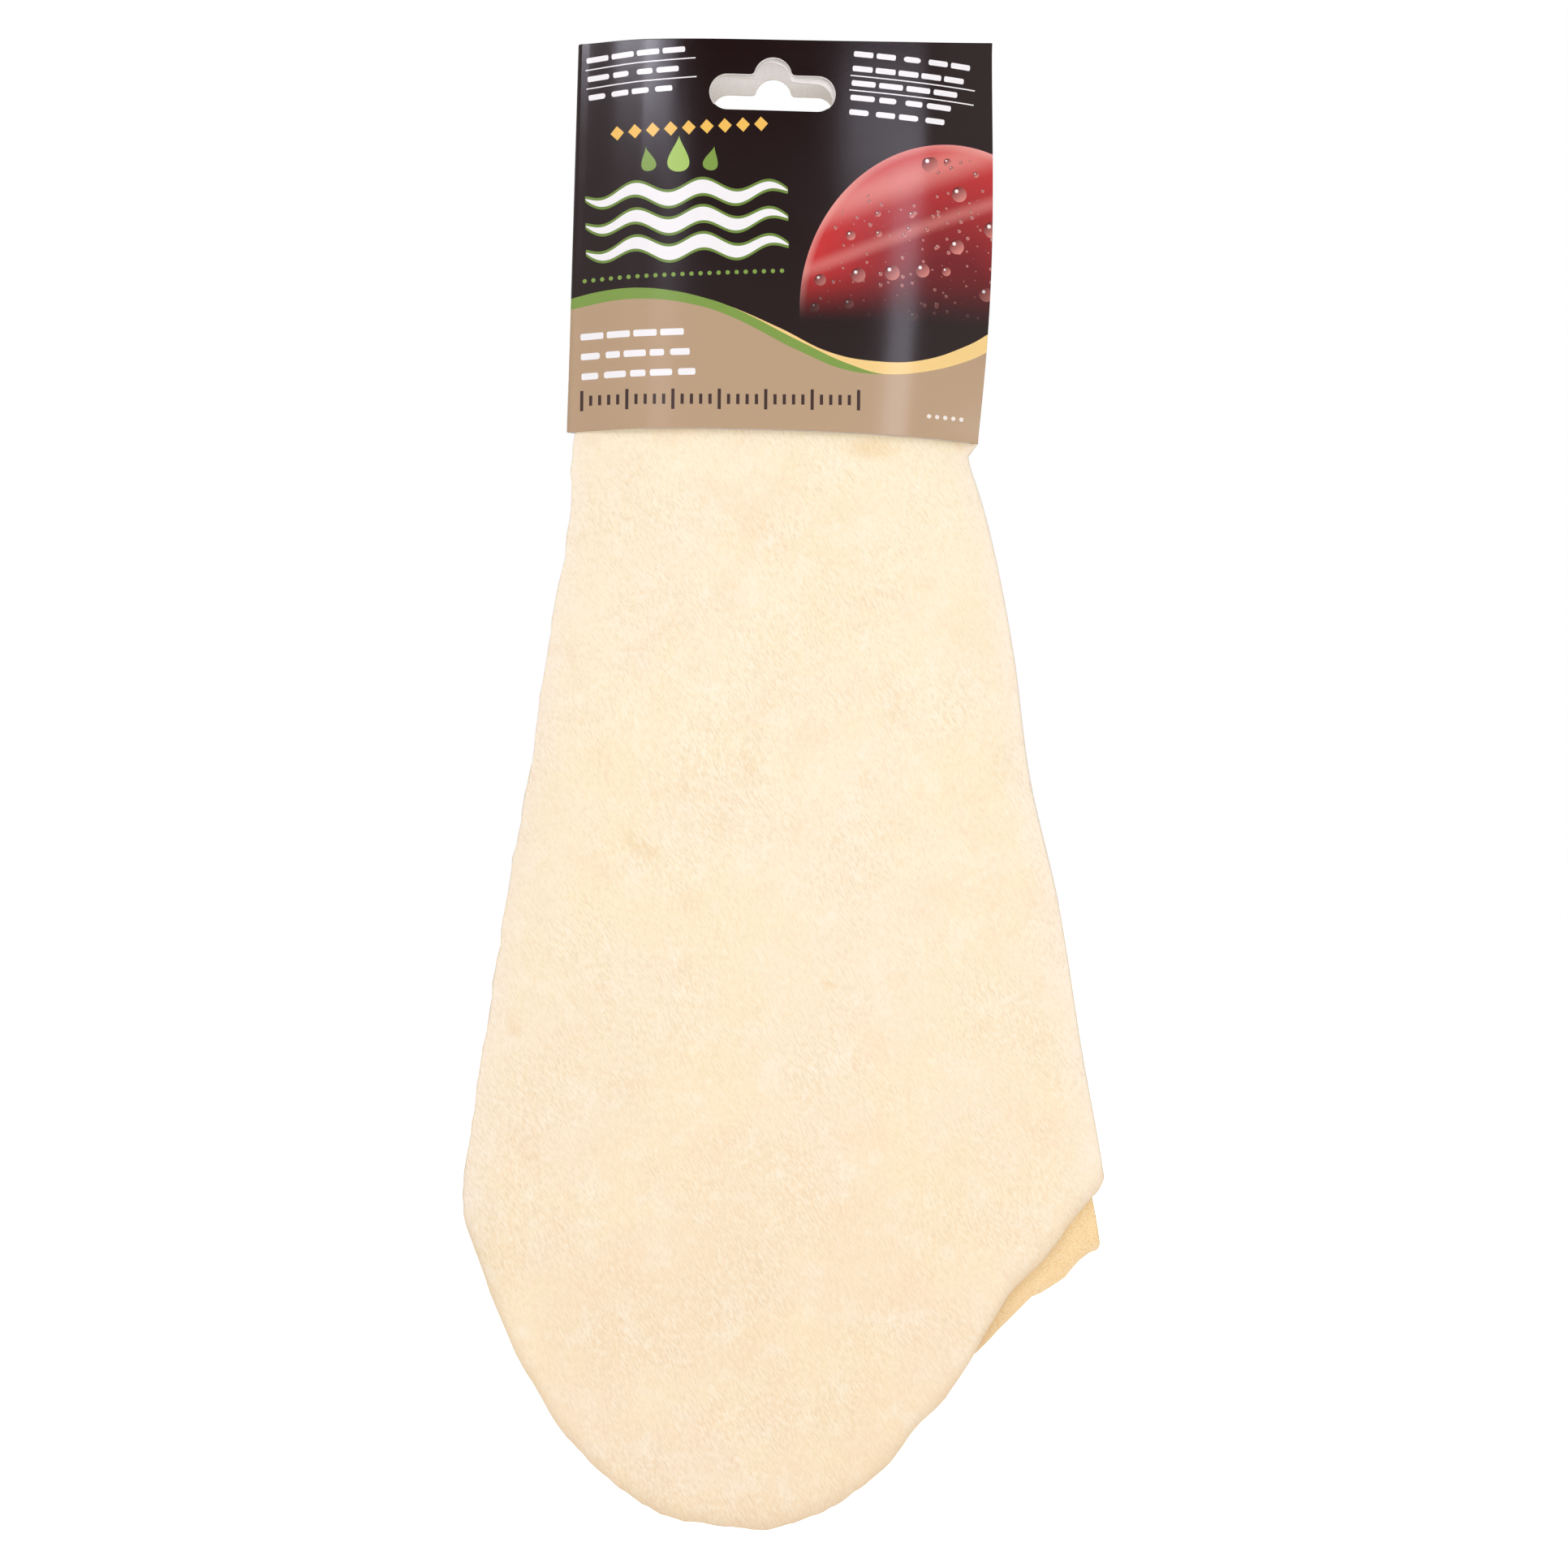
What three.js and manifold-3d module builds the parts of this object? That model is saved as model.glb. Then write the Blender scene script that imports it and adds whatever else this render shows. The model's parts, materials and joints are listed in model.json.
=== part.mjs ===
// A natural chamois leather sold in a printed card sleeve, in millimetres, +Z up.
// The skin is folded lengthwise into plies, folded once more crosswise, and its folded end
// is tucked into the sleeve from below. The sleeve hangs by a slot punched through its panels.
// The origin is where a display peg carries it: the crown of the slot, between the two panels.
// +X runs to the right of the front panel, and the front panel faces -Y.
import * as THREE from 'three';
import { mergeVertices } from 'three/addons/utils/BufferGeometryUtils.js';
import Module from 'manifold-3d';

// The skin
const skinThickness = 0.7;
const skinDrop = 359.5;        // from the crosswise fold's crown to the lowest point of the front
const skinCrownDepth = 15.4;   // the crown of the crosswise fold, below the slot's crown
const pliesEachSide = 6;       // across the front, and as many again behind it
const plyAir = 0.68;           // between two plies in the middle of the stack
const plyAirAtRim = 0.25;      // between two plies squeezed near the sleeve's folds
const coreRadius = 0.7;        // the hollow inside the crosswise fold
const skinHalfWidth = 82;      // half the greatest width between the two lower corners
const mouthFlare = 6;          // the skin spreads over this length below the sleeve's mouth
const fullingLength = 120;     // and its stack grows full out to the rim over this length
const outerPlyLift = 0.4;      // the outermost ply then hangs this clear of the next one

// The card sleeve
const cardThickness = 0.4;
const sleeveHalfWidth = 53;
const sleeveCentre = 2.8;      // the middle of the panels, to the right of the slot
const sleeveSwell = 2.1;       // how far the right fold bows out below the middle
const sleeveTopMargin = 5;     // card above the slot's crown
const sleeveHeight = 99.3;
const topCornerRise = 2.2;     // the upper right corner, above the middle of the top edge
const topCornerPower = 4;      // and how late along the edge that rise comes
const bottomArch = 1.3;        // the middle of the bottom edge, above its two ends
const foldAhead = 3;           // the side folds, ahead of the skin's middle plane
const fitClear = 0.3;          // between the skin and the sleeve
const flapClear = 0.9;         // between the front panel and the flap glued behind it
const flapReach = 86;          // from the right fold to the flap's free edge

// The hang slot, and the one in the flap, which sits a little low and askew
const slotWidth = 31.75;
const slotHeight = 8.9;
const slotArchRadius = 4.75;
const slotShoulder = 4.4;      // from the arch's crown down to the straight upper edge
const slotShoulderFillet = 1.1;
const flapSlotDrop = 1.2;
const flapSlotTurn = THREE.MathUtils.degToRad(2);
const cutOverrun = 4;

// The strip of glue
const glueWidth = 7;
const glueThickness = 0.3;
const glueLength = 62;
const glueInset = 5;           // from the flap's free edge

// Worked out from the sizes above
const plyPitch = skinThickness + plyAir;
const plyPitchAtRim = skinThickness + plyAirAtRim;
const stackHalfDepth = coreRadius + pliesEachSide * plyPitch - plyAir;
const wallDepth = stackHalfDepth + fitClear;
const flapDepth = cardThickness / 2;
const frontDepth = cardThickness + flapClear + cardThickness / 2;
const sleeveBottom = sleeveTopMargin - sleeveHeight;
const skinCrown = -skinCrownDepth;
const turnHeight = skinCrown - stackHalfDepth;
const mouthHeight = sleeveBottom - bottomArch;

// How full the stack is across its width: 1 in the middle, 0 at the rim
const fullnessInSleeveShare = 3.4;
const fullnessBelowShare = 6;
const fullness = (place, power) => 1 - Math.min(1, Math.abs(place) ** power);

// Where each ply ends, as shares of the stack's half width
const leftEdgeShare = 0.93;
const rightFoldShare = 0.864;
const innerFoldShare = 0.7;
const innerFoldLowShare = 0.82;

// The skin's left edge and right fold, as shares of skinHalfWidth, down its length from the
// crown to the lower corners. The last point lies below the corners.
const edgePlacesShare = [0, 0.13, 0.215, 0.24, 0.29, 0.37, 0.46, 0.55, 0.65, 0.77, 1];
const leftEdgeShares = [-0.53, -0.55, -0.565, -0.59, -0.598, -0.648, -0.69, -0.753, -0.808, -0.868, -0.9];
const rightEdgeShares = [0.52, 0.535, 0.56, 0.63, 0.72, 0.8, 0.855, 0.965, 1.055, 1.138, 1.2];

// The corners at the foot of each cut edge and fold, from the front ply's free edge to the
// innermost ply's, as shares of skinDrop below the crown
const cornerShares = [0.77, 0.74, 0.755, 0.792, 0.765, 0.78, 0.75];
// How far each ply's rounded foot hangs below its two corners, as shares of skinDrop
const footShares = [0.243, 0.2, 0.16, 0.185, 0.17, 0.16];
const rearDropShare = 0.965;
// The outline of a foot from left to right: its place across the ply, and its depth
const footPlacesShare = [0, 0.04, 0.12, 0.23, 0.36, 0.5, 0.62, 0.76, 0.88, 1];
const footDepthShares = [0, 0.235, 0.55, 0.822, 0.962, 1, 0.905, 0.636, 0.277, 0];

// The columns across each ply, as shares of the distance to the inner folds, then to the rim
const innerColumnsShare = [-1, -0.6, 0.6, 1];
const frontColumnsShare = [-1, -0.6, -0.2, 0.2, 0.6, 1];
const leftRimColumnsShare = [0.4, 0.75, 1];
const rightRimColumnsShare = [0.5, 1];
// The rows below the sleeve's mouth, from the mouth to the foot, and inside the sleeve
const freeRowsShare = [0, 0.35, 0.7, 1];
const heldRowsShare = [0, 0.5, 1];
// The outer plies, whose rims take columns of their own on the right
const rimPlies = 2;
const turnSteps = 3;

// The sleeve's grid
const panelColumns = 24;
const sleeveRows = 10;
const creaseShare = 0.97;      // where a panel ends and the crease's tip begins
const slotSteps = 10;
// The glue strip's columns
const glueColumnsShare = [0, 0.25, 0.5, 0.75, 1];

// A smooth curve through a table: cubic between each two points, with the slopes that the
// neighbouring points give
function alongTable(places, values, at) {
  const last = places.length - 1;
  const slope = (k) => {
    const a = Math.max(0, k - 1);
    const b = Math.min(last, k + 1);
    return (values[b] - values[a]) / (places[b] - places[a]);
  };
  const held = THREE.MathUtils.clamp(at, places[0], places[last]);
  const found = places.findIndex((place, k) => k > 0 && held <= place);
  const k = found - 1;
  const span = places[k + 1] - places[k];
  const t = (held - places[k]) / span;
  const rise = values[k + 1] - values[k];
  const curve = t * t * (3 - 2 * t) * rise;
  const lead = t * (1 - t) * (1 - t) * span * slope(k);
  const trail = t * t * (1 - t) * span * slope(k + 1);
  return values[k] + curve + lead - trail;
}

// Moves each point of an open polyline sideways by a distance, with mitred corners
function offsetLine(points, distance) {
  return points.map((point, i) => {
    const before = points[Math.max(0, i - 1)];
    const after = points[Math.min(points.length - 1, i + 1)];
    const first = new THREE.Vector2(point.x - before.x, point.y - before.y);
    const second = new THREE.Vector2(after.x - point.x, after.y - point.y);
    if (i === 0) first.copy(second);
    if (i === points.length - 1) second.copy(first);
    first.normalize();
    second.normalize();
    const mitre = new THREE.Vector2(-first.y - second.y, first.x + second.x).normalize();
    const reach = distance / (mitre.x * -first.y + mitre.y * first.x);
    return new THREE.Vector2(point.x + mitre.x * reach, point.y + mitre.y * reach);
  });
}

// A closed solid from two grids of points, the two faces of a bent sheet: rows of points,
// each the same length
function sheetSolid(faceA, faceB) {
  const rows = faceA.length;
  const columns = faceA[0].length;
  const positions = [...faceA.flat(), ...faceB.flat()].flatMap((p) => [p.x, p.y, p.z]);
  const a = (row, column) => row * columns + column;
  const b = (row, column) => rows * columns + a(row, column);
  const index = [];
  const quad = (p, q, r, s) => index.push(p, q, r, p, r, s);
  for (let row = 0; row < rows - 1; row += 1) {
    for (let column = 0; column < columns - 1; column += 1) {
      quad(a(row, column), a(row, column + 1), a(row + 1, column + 1), a(row + 1, column));
      quad(b(row, column), b(row + 1, column), b(row + 1, column + 1), b(row, column + 1));
    }
    quad(a(row, 0), a(row + 1, 0), b(row + 1, 0), b(row, 0));
    const end = columns - 1;
    quad(a(row, end), b(row, end), b(row + 1, end), a(row + 1, end));
  }
  for (let column = 0; column < columns - 1; column += 1) {
    const end = rows - 1;
    quad(a(0, column), b(0, column), b(0, column + 1), a(0, column + 1));
    quad(a(end, column), a(end, column + 1), b(end, column + 1), b(end, column));
  }
  const geometry = new THREE.BufferGeometry();
  geometry.setAttribute('position', new THREE.Float32BufferAttribute(positions, 3));
  geometry.setIndex(index);
  return signedVolume(geometry) < 0 ? turnedInsideOut(geometry) : geometry;
}

function signedVolume(geometry) {
  const position = geometry.getAttribute('position');
  const corner = (i) => new THREE.Vector3().fromBufferAttribute(position, geometry.index.array[i]);
  let volume = 0;
  for (let i = 0; i < geometry.index.count; i += 3) {
    volume += corner(i).dot(corner(i + 1).cross(corner(i + 2)));
  }
  return volume;
}

function turnedInsideOut(geometry) {
  const index = [...geometry.index.array];
  for (let i = 0; i < index.length; i += 3) {
    [index[i + 1], index[i + 2]] = [index[i + 2], index[i + 1]];
  }
  geometry.setIndex(index);
  return geometry;
}

// The sleeve's inner wall at a height: the place across is -1 at the left fold, 1 at the right
function sleeveX(place, height) {
  const down = (sleeveTopMargin - height) / sleeveHeight;
  const bow = place > 0 ? sleeveSwell * place * Math.sin(Math.PI * THREE.MathUtils.clamp(down, 0, 1)) : 0;
  return sleeveCentre + sleeveHalfWidth * place + bow;
}

// How far a wall stands from the skin's middle plane, side -1 for the front and 1 for the back
function wallY(place, side, outside) {
  const full = fullness(place, fullnessInSleeveShare);
  return -foldAhead * (1 - full) + side * (wallDepth * full + outside);
}

// The sleeve's section from the front panel's glued edge, round the left fold, across the
// back, round the right fold and along the flap behind the front panel
function sleeveSection(height) {
  const flapEnd = 1 - flapReach / sleeveHalfWidth;
  const across = (from, to, side, outside) => {
    const count = Math.ceil(panelColumns * Math.abs(to - from) / 2);
    return Array.from({ length: count + 1 }, (_, i) => {
      const place = from + (to - from) * i / count;
      return { place, x: sleeveX(place, height), y: wallY(place, side, outside) };
    });
  };
  const tip = (place) => ({ place, x: sleeveX(place, height), y: wallY(place, 1, 0) });
  return [
    ...across(1, -creaseShare, -1, frontDepth),
    tip(-1),
    ...across(-creaseShare, creaseShare, 1, flapDepth),
    tip(1),
    ...across(creaseShare, flapEnd, -1, flapDepth),
  ];
}

function sleeveGeometry() {
  const faces = [[], []];
  for (let row = 0; row <= sleeveRows; row += 1) {
    const down = row / sleeveRows;
    const section = sleeveSection(sleeveTopMargin - sleeveHeight * down);
    [cardThickness / 2, -cardThickness / 2].forEach((distance, face) => {
      faces[face].push(offsetLine(section, distance).map((point, i) => {
        const place = section[i].place;
        const top = sleeveTopMargin + topCornerRise * ((1 + place) / 2) ** topCornerPower;
        const bottom = sleeveBottom - bottomArch * place * place;
        return new THREE.Vector3(point.x, point.y, top + (bottom - top) * down);
      }));
    });
  }
  return sheetSolid(...faces);
}

// The slot's outline: a straight slot with round ends and an arch over its middle
function slotShape() {
  const shape = new THREE.Shape();
  const end = slotWidth / 2 - slotHeight / 2;
  const top = -slotShoulder;
  const middle = top - slotHeight / 2;
  const bottom = top - slotHeight;
  const archFoot = Math.sqrt(slotArchRadius ** 2 - (slotArchRadius - slotShoulder) ** 2);
  const outer = archFoot + slotShoulderFillet;
  const lift = top + slotShoulderFillet;
  const liftAngle = Math.asin((lift + slotArchRadius) / slotArchRadius);
  const liftX = slotArchRadius * Math.cos(liftAngle);
  shape.moveTo(-end, bottom);
  shape.lineTo(end, bottom);
  shape.absarc(end, middle, slotHeight / 2, -Math.PI / 2, Math.PI / 2, false);
  shape.lineTo(outer, top);
  shape.quadraticCurveTo(archFoot, top, liftX, lift);
  shape.absarc(0, -slotArchRadius, slotArchRadius, liftAngle, Math.PI - liftAngle, false);
  shape.quadraticCurveTo(-archFoot, top, -outer, top);
  shape.lineTo(-end, top);
  shape.absarc(-end, middle, slotHeight / 2, Math.PI / 2, Math.PI * 1.5, false);
  return shape;
}

// A punch through one layer of card, from one depth to another
function slotPunch(fromY, toY, drop, turn) {
  const depth = toY - fromY;
  const geometry = new THREE.ExtrudeGeometry(slotShape(), { depth, bevelEnabled: false, curveSegments: slotSteps });
  geometry.rotateZ(-turn);
  geometry.rotateX(Math.PI / 2);
  geometry.translate(0, toY, -drop);
  return geometry;
}

function toSolid(wasm, geometry) {
  const bare = geometry.clone();
  bare.deleteAttribute('normal');
  bare.deleteAttribute('uv');
  const merged = mergeVertices(bare);
  const vertProperties = Float32Array.from(merged.getAttribute('position').array);
  const triVerts = Uint32Array.from(merged.index.array);
  return new wasm.Manifold(new wasm.Mesh({ numProp: 3, vertProperties, triVerts }));
}

function toGeometry(solid) {
  const mesh = solid.getMesh();
  const geometry = new THREE.BufferGeometry();
  geometry.setAttribute('position', new THREE.Float32BufferAttribute(mesh.vertProperties, 3));
  geometry.setIndex([...mesh.triVerts]);
  return geometry;
}

function punchedSleeve(wasm) {
  const front = -wallDepth - frontDepth - cutOverrun;
  const behindFront = -wallDepth - cardThickness - flapClear / 2;
  const back = wallDepth + cardThickness + cutOverrun;
  const punches = [
    slotPunch(front, behindFront, 0, 0),
    slotPunch(behindFront, 0, flapSlotDrop, flapSlotTurn),
    slotPunch(0, back, 0, 0),
  ];
  let sleeve = toSolid(wasm, sleeveGeometry());
  for (const punch of punches) {
    sleeve = sleeve.subtract(toSolid(wasm, punch));
  }
  return toGeometry(sleeve);
}

// The glue strip lies between the front panel and the flap, along the flap's free edge
function glueGeometry() {
  const faces = [[], []];
  const start = 1 - (flapReach - glueInset) / sleeveHalfWidth;
  const places = glueColumnsShare.map((share) => start + share * glueWidth / sleeveHalfWidth);
  const glueTop = (sleeveTopMargin + sleeveBottom) / 2 + glueLength / 2;
  for (const height of [glueTop, glueTop - glueLength]) {
    const line = places.map((place) => ({
      x: sleeveX(place, height),
      y: wallY(place, -1, cardThickness + flapClear / 2),
    }));
    [glueThickness / 2, -glueThickness / 2].forEach((distance, face) => {
      faces[face].push(offsetLine(line, distance).map((p) => new THREE.Vector3(p.x, p.y, height)));
    });
  }
  return sheetSolid(...faces);
}

// The stack of plies at a height: its middle, half width and fullness. Inside the sleeve it
// keeps the mouth's size, so that it slides out, and below it spreads with the skin's edges.
function stackAt(height) {
  const below = THREE.MathUtils.smoothstep(mouthHeight - height, 0, mouthFlare);
  const down = (skinCrown - height) / skinDrop;
  const left = skinHalfWidth * alongTable(edgePlacesShare, leftEdgeShares, down);
  const right = skinHalfWidth * alongTable(edgePlacesShare, rightEdgeShares, down);
  const freeHalf = (right - left) / (leftEdgeShare + rightFoldShare);
  const freeCentre = left + leftEdgeShare * freeHalf;
  const fulled = THREE.MathUtils.smoothstep(mouthHeight - height, 0, fullingLength);
  return {
    centre: THREE.MathUtils.lerp(sleeveCentre, freeCentre, below),
    half: THREE.MathUtils.lerp(sleeveHalfWidth, freeHalf, below),
    left,
    right,
    power: THREE.MathUtils.lerp(fullnessInSleeveShare, fullnessBelowShare, fulled),
    inner: THREE.MathUtils.lerp(innerFoldShare, innerFoldLowShare, fulled),
    lift: outerPlyLift * fulled,
  };
}

// The distance of a ply from the middle plane: the stack is packed from the wall inwards, and
// only the outermost ply lifts off it below the sleeve
function plyDepth(ply, place, stack) {
  const squeeze = Math.min(1, (place / stack.inner) ** 2);
  const pitch = THREE.MathUtils.lerp(plyPitch, plyPitchAtRim, squeeze);
  const wall = wallDepth * fullness(place, stack.power) - fitClear - skinThickness / 2;
  return wall - ply * pitch + (ply === 0 ? stack.lift : 0);
}

// The columns of one ply, from its left end to its right end, as places in the stack
function plyColumns(ply, stack) {
  const edge = (x) => (x - stack.centre) / stack.half;
  const rim = (shares, side, x) => shares.map((share) => THREE.MathUtils.lerp(side * stack.inner, edge(x), share));
  const shares = ply === 0 ? frontColumnsShare : innerColumnsShare;
  const columns = shares.map((share) => share * stack.inner);
  if (ply === 0) columns.unshift(...rim(leftRimColumnsShare, -1, stack.left).reverse());
  if (ply < rimPlies) columns.push(...rim(rightRimColumnsShare, 1, stack.right));
  return columns;
}

// The whole section as one line: each ply in turn, joined by a fold with a blunt tip
function skinSection(stack) {
  const line = [];
  for (let ply = 0; ply < pliesEachSide; ply += 1) {
    const columns = plyColumns(ply, stack);
    const ends = [columns[0], columns[columns.length - 1]];
    const points = columns.map((place) => ({
      ply,
      across: (place - ends[0]) / (ends[1] - ends[0]),
      x: stack.centre + stack.half * place,
      y: plyDepth(ply, place, stack),
    }));
    if (ply % 2) points.reverse();
    if (ply > 0) {
      const before = line[line.length - 1];
      const bend = (before.y - points[0].y) / 2;
      const side = ply % 2 ? 1 : -1;
      line.push({ ...before, x: before.x + side * bend, y: before.y - bend });
    }
    line.push(...points);
  }
  return line;
}

// The depth of the cut edge under a point of the section
function footHeight({ ply, across }, dropShare) {
  const [left, right] = ply % 2
    ? [cornerShares[ply + 1], cornerShares[ply]]
    : [cornerShares[ply], cornerShares[ply + 1]];
  const corner = THREE.MathUtils.lerp(left, right, across);
  const foot = footShares[ply] * alongTable(footPlacesShare, footDepthShares, across);
  return skinCrown - skinDrop * dropShare * (corner + foot);
}

// One row of the skin: the section at each point's own height, swung round the crosswise
// fold by an angle, 0 in front and 180 degrees behind
function skinRow(heightOf, angle) {
  const plain = skinSection(stackAt(turnHeight));
  const heights = plain.map((point) => heightOf(point));
  const faces = [skinThickness / 2, -skinThickness / 2];
  return faces.map((distance) => plain.map((point, i) => {
    const stack = stackAt(heights[i]);
    const moved = offsetLine(skinSection(stack), distance)[i];
    const place = (moved.x - stack.centre) / stack.half;
    const middle = -foldAhead * (1 - fullness(place, stack.power));
    return new THREE.Vector3(
      moved.x,
      middle - moved.y * Math.cos(angle),
      heights[i] + moved.y * Math.sin(angle),
    );
  }));
}

function skinGeometry() {
  const side = (angle, dropShare) => {
    const held = heldRowsShare.map((share) => () => THREE.MathUtils.lerp(turnHeight, mouthHeight, share));
    const free = freeRowsShare.map((share) => (point) => {
      return THREE.MathUtils.lerp(mouthHeight - mouthFlare, footHeight(point, dropShare), share);
    });
    return [...held, ...free].map((heightOf) => skinRow(heightOf, angle));
  };
  const turn = [];
  for (let step = 1; step < turnSteps; step += 1) {
    turn.push(skinRow(() => turnHeight, Math.PI * step / turnSteps));
  }
  const rows = [...side(0, 1).reverse(), ...turn, ...side(Math.PI, rearDropShare)];
  return sheetSolid(rows.map((row) => row[0]), rows.map((row) => row[1]));
}

function named(name, geometry, material) {
  const mesh = new THREE.Mesh(geometry, new THREE.MeshStandardMaterial(material));
  mesh.name = name;
  return mesh;
}

const wasm = await Module();
wasm.setup();

const group = new THREE.Group();
group.add(
  named('chamois_skin', skinGeometry(), { color: 0xfce6c3, roughness: 0.95, metalness: 0 }),
  named('card_sleeve', punchedSleeve(wasm), { color: 0x2a2022, roughness: 0.3, metalness: 0 }),
  named('seam_glue', glueGeometry(), { color: 0xe6d9b8, roughness: 0.4, metalness: 0 }),
);

export default group;
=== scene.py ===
# %% [markdown]
# # A chamois leather in its printed card sleeve
# The real object is a soft skin, folded into a flat tapering stack, with its folded end held in a
# wrap of glossy card. It hangs on a peg through a slot in the card.
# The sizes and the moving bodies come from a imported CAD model, the frame. Everything here is made
# around it, in the same place and in metres, so nothing has to be fitted afterwards.

import json
import math

import bpy
import numpy as np
from mathutils import Vector
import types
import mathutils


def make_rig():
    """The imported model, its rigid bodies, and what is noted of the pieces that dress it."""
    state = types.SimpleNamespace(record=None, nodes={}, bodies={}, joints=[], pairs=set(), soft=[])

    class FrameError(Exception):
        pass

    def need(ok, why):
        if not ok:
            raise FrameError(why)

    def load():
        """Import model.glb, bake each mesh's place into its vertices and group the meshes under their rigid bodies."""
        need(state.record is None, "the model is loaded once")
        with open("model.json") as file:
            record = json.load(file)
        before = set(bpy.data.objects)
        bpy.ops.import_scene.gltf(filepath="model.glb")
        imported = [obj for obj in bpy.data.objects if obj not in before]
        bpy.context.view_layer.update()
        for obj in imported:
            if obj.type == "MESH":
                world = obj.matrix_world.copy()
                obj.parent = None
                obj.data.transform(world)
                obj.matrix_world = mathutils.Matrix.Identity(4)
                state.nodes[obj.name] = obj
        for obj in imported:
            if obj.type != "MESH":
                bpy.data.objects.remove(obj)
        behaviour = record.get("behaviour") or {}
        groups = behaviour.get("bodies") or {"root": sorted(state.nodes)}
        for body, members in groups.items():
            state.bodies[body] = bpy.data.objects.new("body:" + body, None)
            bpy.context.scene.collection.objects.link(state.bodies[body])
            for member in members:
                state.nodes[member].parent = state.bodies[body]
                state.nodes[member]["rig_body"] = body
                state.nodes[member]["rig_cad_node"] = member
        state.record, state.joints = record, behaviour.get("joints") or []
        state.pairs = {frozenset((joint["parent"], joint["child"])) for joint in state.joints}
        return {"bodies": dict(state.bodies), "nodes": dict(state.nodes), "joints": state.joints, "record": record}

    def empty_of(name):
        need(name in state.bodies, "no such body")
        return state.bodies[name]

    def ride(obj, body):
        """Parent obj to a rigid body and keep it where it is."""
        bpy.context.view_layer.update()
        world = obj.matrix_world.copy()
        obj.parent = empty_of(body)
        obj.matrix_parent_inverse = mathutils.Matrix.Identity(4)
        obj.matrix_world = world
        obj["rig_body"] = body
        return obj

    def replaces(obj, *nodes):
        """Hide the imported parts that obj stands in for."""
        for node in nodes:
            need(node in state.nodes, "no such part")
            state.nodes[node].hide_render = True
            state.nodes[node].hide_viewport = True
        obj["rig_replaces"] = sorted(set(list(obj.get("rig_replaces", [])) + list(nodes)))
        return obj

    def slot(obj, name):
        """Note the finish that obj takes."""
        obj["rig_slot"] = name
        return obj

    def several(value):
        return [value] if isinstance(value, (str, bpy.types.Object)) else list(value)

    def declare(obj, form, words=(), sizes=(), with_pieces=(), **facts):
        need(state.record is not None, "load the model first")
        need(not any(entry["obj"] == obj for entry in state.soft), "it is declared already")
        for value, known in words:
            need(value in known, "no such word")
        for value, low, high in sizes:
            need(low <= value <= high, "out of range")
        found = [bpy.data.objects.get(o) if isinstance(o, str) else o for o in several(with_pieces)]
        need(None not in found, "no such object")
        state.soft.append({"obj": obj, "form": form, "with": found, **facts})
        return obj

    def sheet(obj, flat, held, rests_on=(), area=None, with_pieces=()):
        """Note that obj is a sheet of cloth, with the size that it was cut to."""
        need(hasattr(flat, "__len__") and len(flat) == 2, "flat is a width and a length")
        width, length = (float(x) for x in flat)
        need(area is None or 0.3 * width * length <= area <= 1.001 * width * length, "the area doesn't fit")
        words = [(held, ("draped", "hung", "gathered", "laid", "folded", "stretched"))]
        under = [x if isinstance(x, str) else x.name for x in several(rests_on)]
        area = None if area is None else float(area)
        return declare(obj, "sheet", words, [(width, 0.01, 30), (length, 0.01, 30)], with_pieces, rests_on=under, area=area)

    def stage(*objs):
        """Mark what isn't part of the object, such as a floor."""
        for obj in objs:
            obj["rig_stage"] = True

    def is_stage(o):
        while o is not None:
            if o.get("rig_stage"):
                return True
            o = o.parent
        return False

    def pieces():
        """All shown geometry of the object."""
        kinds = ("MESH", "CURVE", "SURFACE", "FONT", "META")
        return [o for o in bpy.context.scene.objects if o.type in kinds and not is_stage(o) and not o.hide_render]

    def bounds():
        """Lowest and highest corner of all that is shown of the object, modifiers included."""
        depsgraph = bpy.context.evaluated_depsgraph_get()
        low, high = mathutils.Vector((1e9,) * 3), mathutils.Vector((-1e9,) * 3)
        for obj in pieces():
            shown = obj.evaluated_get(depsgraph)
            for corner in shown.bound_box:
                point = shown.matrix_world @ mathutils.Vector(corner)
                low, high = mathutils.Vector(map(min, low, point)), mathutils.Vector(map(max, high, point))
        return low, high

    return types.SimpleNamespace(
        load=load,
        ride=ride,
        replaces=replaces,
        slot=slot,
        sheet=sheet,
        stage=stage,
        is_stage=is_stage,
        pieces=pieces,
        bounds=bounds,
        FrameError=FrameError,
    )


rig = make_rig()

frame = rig.load()
cad_box = [list(corner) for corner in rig.bounds()]
print("CAD box in metres:", cad_box)

# %% [markdown]
# ## Small helpers
# Shapes are worked out in millimetres, as their maker would measure them, and one number turns
# them to Blender's metres. Colours are written as the hex values that a paint program shows, and
# one function turns them to the linear numbers that a shader needs. One function adds a shader
# node and returns its output, so that a material reads like a sum.

# %% Millimetres, colours and nodes
MM = 0.001


def colour(code):
    """A hex colour as linear red, green, blue and alpha: each channel of the sRGB curve undone."""
    share = np.array([int(code[k:k + 2], 16) for k in (1, 3, 5)]) / 255
    bright = ((share + 0.055) / 1.055) ** 2.4
    return (*np.where(share <= 0.04045, share / 12.92, bright), 1.0)


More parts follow.
